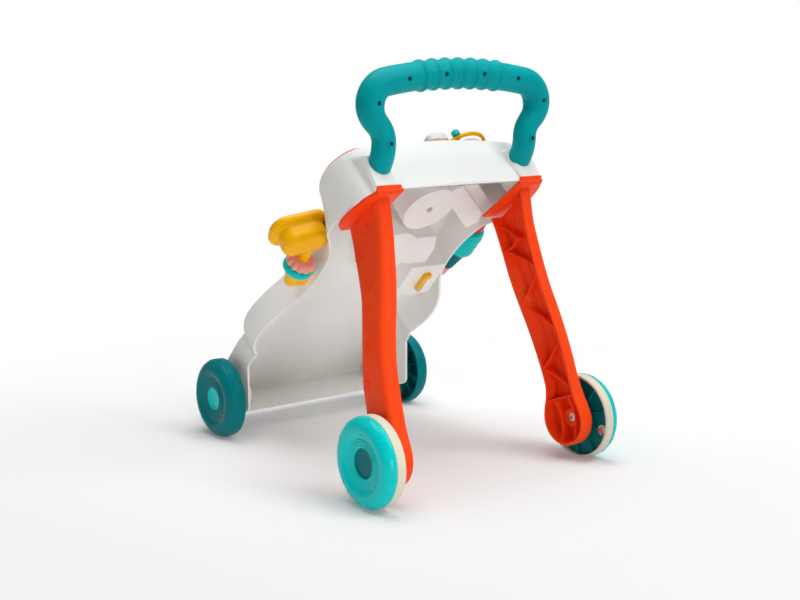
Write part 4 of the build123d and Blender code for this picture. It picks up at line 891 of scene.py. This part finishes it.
def round_axle(name, shape, copies, start, axle, body, slot):
    """Piece made of copies of a shape, drawn about the axle, at equal turns."""
    points, faces = shape
    mesh = bpy.data.meshes.new(name)
    mesh.from_pydata([(x * MM, y * MM, z * MM) for x, y, z in points], [], faces)
    y, z = axle
    centre = (0.0, (y + REAR_AXLE_Y) * MM, z * MM)
    values = {"Copies": copies, "Start": radians(start), "Axle": centre, "Finish": FINISH[slot]}
    settle(name, grown(mesh, COPIES_ROUND_AXLE, values), body, slot)


def ridged(base, outer_r, inner_r):
    """Fine concentric ridges in the dish, from the outside in."""
    points = []
    for i in range(RIDGES):
        for step in range(RIDGE_STEPS):
            share = (i + step / RIDGE_STEPS) / RIDGES
            rise = RIDGE_RISE * sin(pi * step / RIDGE_STEPS) ** 2
            points.append((base + rise, outer_r + (inner_r - outer_r) * share))
    return points


def dish(face, edge_r, cap_r, depth):
    """Outer side of a wheel from the rolled edge in to the hub hole."""
    low = face - depth
    rolled = smooth_line([(face, edge_r + DISH_LIP), (face - 0.12, edge_r + 2.2),
                          (face - 0.45, edge_r + 0.9), (face - 0.27 * depth, edge_r - 0.4),
                          (face - 0.6 * depth, edge_r - 2.4), (face - 0.86 * depth, edge_r - 4.5),
                          (low + 0.1, edge_r - 6.3)], 4)
    hub = [(low, cap_r + 0.9), (low - 0.2, cap_r + 0.25), (low - 0.7, cap_r)]
    return rolled + ridged(low, edge_r - 6.6, cap_r + 0.9) + hub


def rear_dome_profile():
    """Section of the domed half: tread, rolled edge, dish, hub hole and inside."""
    base = REAR_BASE_X
    wall = DOME_WALL
    tread = arc((base, DOME_CREST_R), DOME_W, REAR_R - DOME_CREST_R, 86, 0, 22)
    inside = arc((base, DOME_CREST_R), DOME_W - wall, REAR_R - wall - DOME_CREST_R, 0, 90, 8)
    floor = base + DOME_W - REAR_DISH_DEPTH - wall
    profile = [(base, REAR_R - 1.2), (base + 0.15, REAR_R - 0.55), (base + 0.5, REAR_R - 0.15)]
    profile += tread[:-1] + dish(base + DOME_W, DISH_EDGE_R, REAR_CAP_R, REAR_DISH_DEPTH)
    profile += [(base + 1, REAR_CAP_R), (base + 1, REAR_CAP_R + wall), (floor, REAR_CAP_R + wall),
                (floor, DISH_EDGE_R - 1)]
    return profile + inside


def slot_outline(length, width, inset, count=8):
    """Rounded slot about the origin, long along u, with points that can follow a curved surface."""
    r = width / 2 - inset
    reach = length / 2 - width / 2
    straight = [reach * (1 - 2 * i / 10) for i in range(1, 10)]
    right = arc((reach, 0), r, r, -90, 90, count)
    left = arc((-reach, 0), r, r, 90, 270, count)
    return right + [(u, r) for u in straight] + left + [(-u, -r) for u in straight]


def tread_pad(side, surface, middle, length, width, rise):
    """Raised rounded-slot line on a tread; surface(s) gives x, r and the outward normal there."""
    loops = []
    for share, height in PAD_SECTION:
        loop = []
        for u, w in slot_outline(length, width, share * PAD_LINE):
            x, r, nx, nr = surface(middle + u)
            lift = rise * height if height > 0 else height
            reach = r + nr * lift
            turn = w / r
            loop.append((side * (x + nx * lift), reach * sin(turn), reach * cos(turn)))
        loops.append(loop)
    return skin(loops + loops[:1])


def dome_surface(s):
    """Tread of the rear dome at a distance s from its edge: x, r and the outward normal."""
    rise = REAR_R - DOME_CREST_R
    a = pi / 2 - s / ((DOME_W + rise) / 2)
    normal = Vector((cos(a) / DOME_W, sin(a) / rise)).normalized()
    return REAR_BASE_X + DOME_W * cos(a), DOME_CREST_R + rise * sin(a), normal.x, normal.y


def front_surface(s):
    """The same for the front wheel's flat tread."""
    return FRONT_INNER_X + s, FRONT_R, 0.0, 1.0


def wheel_rib(side, low, high, inner_r, outer_r):
    """Radial rib with a rounded free edge."""
    section = both_sides([(high, 1.0), (low + 0.5, 0.8), (low, 0.4)])
    return capped([[(side * x, w, r) for x, w in section] for r in (inner_r, outer_r)])


def lug(side, low, high):
    """Round lug beside the rim with a blind screw hole, drawn at the top of its circle."""
    bottom = low + LUG_HOLE_DEPTH
    profile = [(high, 0), (bottom, 0), (bottom, LUG_HOLE_R), (low, LUG_HOLE_R), (low, LUG_R - LUG_EDGE),
               (low + LUG_EDGE, LUG_R), (high, LUG_R)]
    return turned(profile, 0, LUG_CIRCLE_R, side, 32)


def make_rear_wheel(name, side):
    """Dome with tread pads, grip band with lugs, back disc with ribs, and hub cup."""
    wheel = f"rear_{name}"
    body = wheel + "_wheel"
    axle = (0.0, REAR_R)
    low, base = REAR_INNER_X, REAR_BASE_X
    dome = turned(rear_dome_profile(), *axle, side)
    piece_of(wheel + "_dome_shell", dome, body, "aqua_abs", [wheel + "_dome"], WHEEL_SMOOTH)
    pad = tread_pad(side, dome_surface, *REAR_PAD)
    round_axle(wheel + "_tread_pads", pad, PADS, REAR_PAD_START, axle, body, "aqua_abs")

    wall_r = REAR_R - GRIP_WALL
    high = base - GRIP_FLANGE_T
    ring = [(low, wall_r + 0.3), (low, REAR_R - 1.0), (low + 0.3, REAR_R - 0.3), (low + 1.0, REAR_R),
            (base - 0.8, REAR_R), (base - 0.25, REAR_R - 0.25), (base, REAR_R - 1.0), (base, GRIP_FLANGE_R),
            (high, GRIP_FLANGE_R), (high, wall_r - 0.8), (high - 0.8, wall_r), (low + 0.3, wall_r)]
    piece_of(wheel + "_grip_band", turned(ring, *axle, side), body, "cream_abs", [wheel + "_grip_ring"])
    boss = lug(side, low + LUG_FROM_EDGE, base)
    round_axle(wheel + "_lugs", boss, LUG_COUNT, LUG_START, axle, body, "cream_abs")

    floor = high - DISC_T
    end = low - HUB_OUT
    disc = [(end, WHEEL_BORE), (end, HUB_R - HUB_EDGE), (end + HUB_EDGE, HUB_R), (floor - 1, HUB_R),
            (floor - 0.3, HUB_R + 0.3), (floor, HUB_R + 1), (floor, wall_r - 0.1), (high, wall_r - 0.1),
            (high, HUB_R), (base + 2.2, HUB_R), (base + 2.2, WHEEL_BORE)]
    shape = turned(disc, *axle, side)
    piece_of(wheel + "_back_disc", shape, body, "dark_teal_abs", [wheel + "_inner_disc"])
    rib = wheel_rib(side, low + 1.0, floor + 1, HUB_R - 0.5, wall_r - 0.3)
    round_axle(wheel + "_back_ribs", rib, WHEEL_RIBS, 0, axle, body, "dark_teal_abs")

    rim = base + DOME_W - REAR_DISH_DEPTH
    floor = REAR_AXLE_END + 0.2
    r = REAR_CAP_R
    cup = [(base + 1, r - 0.1), (rim - 0.9, r - 0.1), (rim - 0.7, r - 0.4), (rim - 0.9, r - 0.8)]
    cup += smooth_line([(rim - 1.4, r - 1.1), (rim - 2.4, r - 1.9), (floor + 0.9, r - 4.2),
                        (floor + 0.5, r - 8.0), (floor + 0.4, 0)], 5)
    cup += [(floor, 0), (floor, r - 5), (base + 1, r - 3)]
    shape = turned(cup, *axle, side, CAP_FACETS)
    piece_of(wheel + "_hub_cup", shape, body, "dark_teal_abs", [wheel + "_hub_cap"])


def front_wheel_profile():
    """Section of the front wheel: tread, stepped shoulder, dish, hub and inside."""
    low, high = FRONT_INNER_X, FRONT_INNER_X + FRONT_W
    wall = FRONT_WALL
    top = FRONT_R
    steps = [(low + out, top - drop) for out, drop in FRONT_SHOULDER]
    shoulder = smooth_line(steps + [(high, DISH_EDGE_R + DISH_LIP)], 4)
    profile = [(low, top - wall + 0.4), (low, top - 1.2), (low + 0.35, top - 0.35), (low + 1.2, top)]
    profile += shoulder[:-1] + dish(high, DISH_EDGE_R, FRONT_CAP_R, DISH_DEPTH)
    floor = FRONT_FLOOR_X
    back = high - DISH_DEPTH - wall
    profile += [(floor, FRONT_CAP_R), (floor, WHEEL_BORE), (low, WHEEL_BORE), (low, HUB_R - HUB_EDGE),
                (low + HUB_EDGE, HUB_R), (floor - wall, HUB_R), (floor - wall, FRONT_CAP_R + wall),
                (back, FRONT_CAP_R + wall), (back, 28)]
    return profile + arc((high - 10, 34), 10 - wall, top - wall - 34, 10, 90, 8)


def make_front_wheel(name, side):
    """Wheel shell with tread pads and ribs, and hub cup."""
    wheel = f"front_{name}"
    body = wheel + "_wheel"
    axle = (WHEELBASE, FRONT_R)
    rim = FRONT_INNER_X + FRONT_W - DISH_DEPTH
    shell = turned(front_wheel_profile(), *axle, side)
    piece_of(wheel + "_wheel_shell", shell, body, "dark_teal_abs", [wheel + "_wheel"], WHEEL_SMOOTH)
    pad = tread_pad(side, front_surface, *FRONT_PAD)
    round_axle(wheel + "_tread_pads", pad, PADS, FRONT_PAD_START, axle, body, "dark_teal_abs")
    rib = wheel_rib(side, FRONT_INNER_X + 6, rim - FRONT_WALL + 0.5, HUB_R - 0.5, FRONT_R - 6)
    round_axle(wheel + "_wheel_ribs", rib, WHEEL_RIBS, 0, axle, body, "dark_teal_abs")

    r = FRONT_CAP_R
    back = rim - FRONT_CAP_T
    cup = [(back, r - 0.1), (rim - 0.2, r - 0.1), (rim + 0.2, r - 0.5), (rim + 0.2, r - 1.0),
           (rim - 0.3, r - 1.5)]
    cup += arc((rim - 0.3, 0), -2.6, r - 1.5, 85, 0, 12) + [(back, 0)]
    shape = turned(cup, *axle, side, CAP_FACETS)
    piece_of(wheel + "_hub_cup", shape, body, "aqua_abs", [wheel + "_hub_cap"])


# Panel, cup, cap, clip, button, dial, spinner and gear: the solids' own faces, with softer edges

EDGE_SHARE = 0.25
EDGE_ANGLE = 28.0
EDGE_SEGMENTS = 3
FLAT_ANGLE = 1.2
SOLID_DOUBLE = 0.004
CAST_SMOOTH = 30.0
# node, body, slot and width of the rounded edges; with no width, only the shading is evened out
CASTINGS = [
    ("panel_shell", "frame", "white_abs", 0.5),
    ("rattle_cup", "frame", "yellow_abs", None),
    ("stack_cap", "frame", "red_abs", 0.5),
    ("lever_clip", "lever", "yellow_abs", None),
    ("melody_button", "button", "white_abs", 0.5),
    ("dial_base", "frame", "white_abs", 0.5),
    ("dial_ring", "dial", "yellow_abs", 0.5),
    ("spinner_flower", "spinner", "yellow_abs", 0.6),
    ("rattle_gear", "gear", "dark_teal_abs", 0.6),
]


def softened(mesh, width):
    """Mesh with flat faces joined and sharp edges rounded as far as the faces leave room."""
    bm = bmesh.new()
    bm.from_mesh(mesh)
    bmesh.ops.remove_doubles(bm, verts=bm.verts, dist=SOLID_DOUBLE * MM)
    bmesh.ops.dissolve_limit(bm, angle_limit=radians(FLAT_ANGLE), verts=bm.verts, edges=bm.edges)
    weight = bm.edges.layers.float.new("bevel_weight_edge")
    for edge in bm.edges:
        if len(edge.link_faces) == 2 and edge.calc_face_angle() > radians(EDGE_ANGLE):
            room = min(2 * face.calc_area() / face.calc_perimeter() for face in edge.link_faces)
            edge[weight] = min(1.0, EDGE_SHARE * room / (width * MM))
    bm.to_mesh(mesh)
    bm.free()
    work = stand("work", mesh)
    change = work.modifiers.new("round", "BEVEL")
    change.width = width * MM
    change.segments = EDGE_SEGMENTS
    change.limit_method = "WEIGHT"
    change.use_clamp_overlap = False
    change.miter_outer = "MITER_ARC"
    return baked(work)


def make_castings():
    """Copies of the solids' meshes, with edges rounded or only the shading evened out."""
    for node, body, slot, width in CASTINGS:
        mesh = frame["nodes"][node].data.copy()
        if width:
            mesh = softened(mesh, width)
        settle(node + "_cast", mesh, body, slot, [node], CAST_SMOOTH)


# Toys at the waist, drawn on the sloping panel: x to the right, v up the slope, d down behind it

SLOPE = radians(46.0)
SLOPE_Y = 232.8
SLOPE_Z = 224.9
BLOCK_X = -129.0
BLOCK_V = 78.0
BLOCK_TILT = 12.0
# width, height and corner radius
BLOCK_FLANGE = (72.0, 47.0, 19.0)
BLOCK_BODY = (57.0, 35.0, 15.0)
BLOCK_FRONT_D = -4.0
BLOCK_STEP_D = 7.0
BLOCK_BACK_D = 30.0
BLOCK_FLANGE_ROUND = 5.0
BLOCK_HOLLOW = 3.0
BLOCK_BODY_ROUND = 8.0
BLOCK_SMOOTH = 40.0
# x and d of the posts that carry the turning toys, and the bores of the toys
RATTLE_POST = (-120.0, 23.7)
RATTLE_BORE = 6.5 + RUN_CLEAR
STACK_POST = (121.0, 20.7)
STACK_BORE = 4.0 + RUN_CLEAR
# low and high side in v, and radius
SMOOTH_RING = (27.6, 37.6, 18.4)
SCALLOP_RING = (38.2, 49.2, 18.4)
SCALLOPS = 12
SCALLOP_DIP = 2.4
SCALLOP_FACETS = 144
SCALLOP_SMOOTH = 60.0
# v and radius up the cone and the roller
CONE_FOOT = [(-15.0, STACK_BORE), (-15.0, 5.6)]
CONE_SIDE = [(-14.4, 6.4), (-12.0, 6.9), (-4.0, 8.4), (0.6, 9.1)]
CONE_TOP = [(1.2, 8.9), (1.5, 8.3), (1.5, STACK_BORE)]
ROLLER_FOOT = [(35.4, STACK_BORE), (35.4, 17.0), (36.2, 18.4)]
ROLLER_SHOULDER = [(70.8, 19.6), (73.4, 19.2), (75.6, 17.6), (76.8, 15.0)]
ROLLER_TOP = [(77.0, 13.5), (77.0, STACK_BORE)]
# low and high side in v, their radii, number of bands, swell, groove and steps
DRUM_BANDS = (2.1, 34.8, 8.6, 14.0, 5, 1.5, 1.4, 10)
ROLLER_BANDS = (37.4, 70.0, 19.3, 19.3, 12, 0.35, 0.25, 6)
ROLLER_SWELL = 0.9
ROLLER_LOBE = 10.9
BAND_SMOOTH = 50.0


def panel_point(x, v, d):
    """A point on the sloping panel, from the floor under the rear axle."""
    return (x, SLOPE_Y - v * cos(SLOPE) - d * sin(SLOPE), SLOPE_Z + v * sin(SLOPE) - d * cos(SLOPE))


def tilted_outline(size, inset):
    """Rounded rectangle of the block at its tilt, moved inwards, or outwards by a negative inset."""
    width, height, corner = size
    w, h = width / 2 - inset, height / 2 - inset
    turn = radians(BLOCK_TILT)
    points = []
    for u, t in rounded_box((-w, -h), (w, h), corner - inset, 0.0, 10):
        points.append((BLOCK_X + u * cos(turn) - t * sin(turn), BLOCK_V + u * sin(turn) + t * cos(turn)))
    return points


def rattle_block():
    """Flange with a rolled rim, a hollow curve and a body with a broad rounding."""
    r, hollow, broad = BLOCK_FLANGE_ROUND, BLOCK_HOLLOW, BLOCK_BODY_ROUND
    turns = [radians(turn) for turn in range(0, 91, 10)]
    levels = [(BLOCK_FLANGE, r * (1 - sin(a)), BLOCK_FRONT_D + r * (1 - cos(a))) for a in turns]
    levels += [(BLOCK_FLANGE, r * (1 - cos(a)), BLOCK_STEP_D - r * (1 - sin(a))) for a in turns]
    levels += [(BLOCK_BODY, -hollow * (1 - sin(a)), BLOCK_STEP_D + hollow * (1 - cos(a))) for a in turns]
    levels += [(BLOCK_BODY, broad * (1 - cos(a)), BLOCK_BACK_D - broad * (1 - sin(a))) for a in turns]
    loops = []
    for size, inset, depth in levels:
        loops.append([panel_point(x, v, depth) for x, v in tilted_outline(size, inset)])
    return capped(loops)


def round_post(profile, post, lobes=0, dip=0.0, count=96):
    """Closed profile of (v, r) turned about a post of the panel, with scallops that deepen outwards."""
    x, d = post
    bore = min(r for _, r in profile)
    top = max(r for _, r in profile)
    loops = []
    for turn in round_turns(count):
        bite = dip * (1 - abs(cos(lobes * turn / 2))) if lobes else 0.0
        loop = []
        for v, r in profile:
            reach = r - bite * (r - bore) / (top - bore)
            loop.append(panel_point(x + reach * cos(turn), v, d + reach * sin(turn)))
        loops.append(loop)
    return skin(loops)


def ring_profile(low, high, radius):
    """Section of a ring on the rattle's post: flat sides and a full round rim."""
    middle, half = (low + high) / 2, (high - low) / 2
    side_r = radius - half
    rim = arc((middle, side_r), half, half, 178, 2, 18)
    return [(low, RATTLE_BORE), (low, side_r)] + rim + [(high, side_r), (high, RATTLE_BORE)]


def make_left_toy():
    """Stepped block, smooth ring and scalloped ring."""
    piece_of("rattle_block_cast", rattle_block(), "frame", "yellow_abs", ["rattle_block"], BLOCK_SMOOTH)
    smooth = round_post(ring_profile(*SMOOTH_RING), RATTLE_POST)
    piece_of("rattle_teal_ring_turned", smooth, "teal_ring", "aqua_abs", ["rattle_teal_ring"])
    lobed = round_post(ring_profile(*SCALLOP_RING), RATTLE_POST, SCALLOPS, SCALLOP_DIP, SCALLOP_FACETS)
    piece_of("rattle_pink_ring_turned", lobed, "pink_ring", "pink_abs", ["rattle_pink_ring"],
             SCALLOP_SMOOTH)


def banded(low, high, low_r, high_r, bands, swell, groove, steps):
    """Outer line of a turned toy from low to high: swelling bands with a groove after each."""
    line = []
    for band in range(bands):
        for step in range(steps + 1):
            share = step / steps
            v = low + (high - low) * (band + share) / bands
            r = low_r + (high_r - low_r) * (band + share) / bands
            rise = swell * sin(pi * share) - (groove if step in (0, steps) else 0.0)
            line.append((v, r + rise))
    return line


def make_stack_toy(name, profile, slot, sharp=SMOOTH_ANGLE):
    """One of the toys that turn on the right post."""
    node = "stack_" + name
    piece_of(node + "_turned", round_post(profile, STACK_POST), name, slot, [node], sharp)


def make_right_toy():
    """Cone, grooved drum and lobed roller."""
    make_stack_toy("cone", CONE_FOOT + smooth_line(CONE_SIDE, 5) + CONE_TOP, "pink_abs")
    low, high = DRUM_BANDS[:2]
    drum = [(low, STACK_BORE)] + banded(*DRUM_BANDS) + [(high, STACK_BORE)]
    make_stack_toy("drum", drum, "dark_teal_abs", BAND_SMOOTH)
    low = ROLLER_BANDS[0]
    lobes = []
    for v, r in banded(*ROLLER_BANDS):
        lobes.append((v, r + ROLLER_SWELL * abs(sin(pi * (v - low) / ROLLER_LOBE))))
    roller = ROLLER_FOOT + lobes + smooth_line(ROLLER_SHOULDER, 4) + ROLLER_TOP
    make_stack_toy("roller", roller, "aqua_abs", BAND_SMOOTH)


# Stage, light and camera

PAPER = "#F0F0F0"
WHITE_LIGHT = (1, 1, 1, 1)
FLOOR_HALF = 6.0
# strength of the paper's own light, to the camera and to the object
PAPER_LIFT = 0.08
PAPER_BOUNCE = 0.2
# distances in metres from the middle at which the paper's light and the shadow start and end to fade
BOUNCE_NEAR = 0.1
BOUNCE_FAR = 0.44
SHADOW_KEPT = 0.42
SHADOW_GONE = 0.85
FILL = 0.2
# name, place, target, size in metres, power in watts and spread in degrees
LAMPS = [
    ("key", (0.6, -1.5, 1.9), (0.0, 0.0, 0.2), 1.4, 23.5, 180.0),
    ("top", (0.0, 0.2, 2.3), (0.0, 0.0, 0.1), 2.0, 38.5, 180.0),
    ("low", (-0.45, -1.5, 0.16), (-0.05, 0.1, 0.09), 0.5, 0.2, 24.0),
]
SENSOR = 36.0
LENS = 57.67
CAMERA_PLACE = (-0.9184, -1.2356, 0.4502)
CAMERA_YAW = radians(37.22)
CAMERA_PITCH = radians(-9.90)
CAMERA_ROLL = radians(-0.13)


def floor_finish():
    """Matt paper sweep: it keeps the soft shadow close by, and is plain white to the camera further out."""
    mat, tree = blank_finish("white_paper_sweep")
    path = add(tree, "ShaderNodeLightPath")
    place = add(tree, "ShaderNodeTexCoord")
    away = add(tree, "ShaderNodeVectorMath", {"operation": "LENGTH"}, {}, [(0, place, "Object")])
    far = add(tree, "ShaderNodeMapRange", {"interpolation_type": "SMOOTHSTEP"},
              {"From Min": SHADOW_KEPT, "From Max": SHADOW_GONE}, [("Value", away, "Value")])
    far_seen = add(tree, "ShaderNodeMath", {"operation": "MULTIPLY"}, {},
                   [(0, far, "Result"), (1, path, "Is Camera Ray")])
    bounce = add(tree, "ShaderNodeMapRange", {"interpolation_type": "SMOOTHSTEP"},
                 {"From Min": BOUNCE_NEAR, "From Max": BOUNCE_FAR, "To Min": PAPER_BOUNCE, "To Max": 0.0},
                 [("Value", away, "Value")])
    lift = add(tree, "ShaderNodeMapRange", {}, {"To Max": PAPER_LIFT},
               [("Value", path, "Is Camera Ray"), ("To Min", bounce, "Result")])
    paper = add(tree, "ShaderNodeBsdfDiffuse", {}, {"Color": linear(PAPER), "Roughness": 1.0})
    glow = add(tree, "ShaderNodeEmission", {}, {"Color": WHITE_LIGHT}, [("Strength", lift, "Result")])
    near = add(tree, "ShaderNodeAddShader", {}, {}, [(0, paper, "BSDF"), (1, glow, "Emission")])
    white = add(tree, "ShaderNodeEmission", {}, {"Color": WHITE_LIGHT, "Strength": 1.0})
    sweep = add(tree, "ShaderNodeMixShader", {}, {},
                [(0, far_seen, "Value"), (1, near, "Shader"), (2, white, "Emission")])
    add(tree, "ShaderNodeOutputMaterial", {}, {}, [("Surface", sweep, "Shader")])
    return mat


def make_floor():
    """Paper under and round the object."""
    mesh = bpy.data.meshes.new("floor")
    s = FLOOR_HALF
    mesh.from_pydata([(-s, -s, 0), (s, -s, 0), (s, s, 0), (-s, s, 0)], [], [(0, 1, 2, 3)])
    mesh.materials.append(floor_finish())
    stand("floor", mesh)


def make_light(name, place, target, size, power, spread):
    """Round soft lamp that looks at its target."""
    data = bpy.data.lights.new(name, "AREA")
    data.shape = "DISK"
    data.size = size
    data.energy = power
    data.spread = radians(spread)
    lamp = stand(name, data)
    lamp.location = place
    lamp.rotation_mode = "QUATERNION"
    lamp.rotation_quaternion = (Vector(target) - Vector(place)).to_track_quat("-Z", "Y")


def make_world():
    """Dim even fill for the object, white to the camera."""
    world = bpy.data.worlds.new("studio")
    bpy.context.scene.world = world
    world.use_nodes = True
    tree = world.node_tree
    tree.nodes.clear()
    path = add(tree, "ShaderNodeLightPath")
    strength = add(tree, "ShaderNodeMapRange", {}, {"To Min": FILL, "To Max": 1.0},
                   [("Value", path, "Is Camera Ray")])
    sky = add(tree, "ShaderNodeBackground", {}, {"Color": WHITE_LIGHT}, [("Strength", strength, "Result")])
    add(tree, "ShaderNodeOutputWorld", {}, {}, [("Surface", sky, "Background")])


def make_camera():
    """Camera solved from the photograph's wheels, handle and panel."""
    data = bpy.data.cameras.new("photo_camera")
    data.sensor_width = SENSOR
    data.lens = LENS
    camera = stand("photo_camera", data)
    level = cos(CAMERA_PITCH)
    gaze = Vector((sin(CAMERA_YAW) * level, cos(CAMERA_YAW) * level, sin(CAMERA_PITCH)))
    roll = Matrix.Rotation(CAMERA_ROLL, 4, "Z").to_quaternion()
    camera.location = CAMERA_PLACE
    camera.rotation_mode = "QUATERNION"
    camera.rotation_quaternion = gaze.to_track_quat("-Z", "Y") @ roll
    bpy.context.scene.camera = camera


make_handle()
make_castings()
make_left_toy()
make_right_toy()
for leg_side, sign in (("left", -1), ("right", 1)):
    make_leg(leg_side + "_leg", sign)
    make_rear_wheel(leg_side, sign)
    make_front_wheel(leg_side, sign)

make_floor()
make_world()
for lamp_values in LAMPS:
    make_light(*lamp_values)
make_camera()
bpy.context.scene.view_settings.view_transform = "Standard"
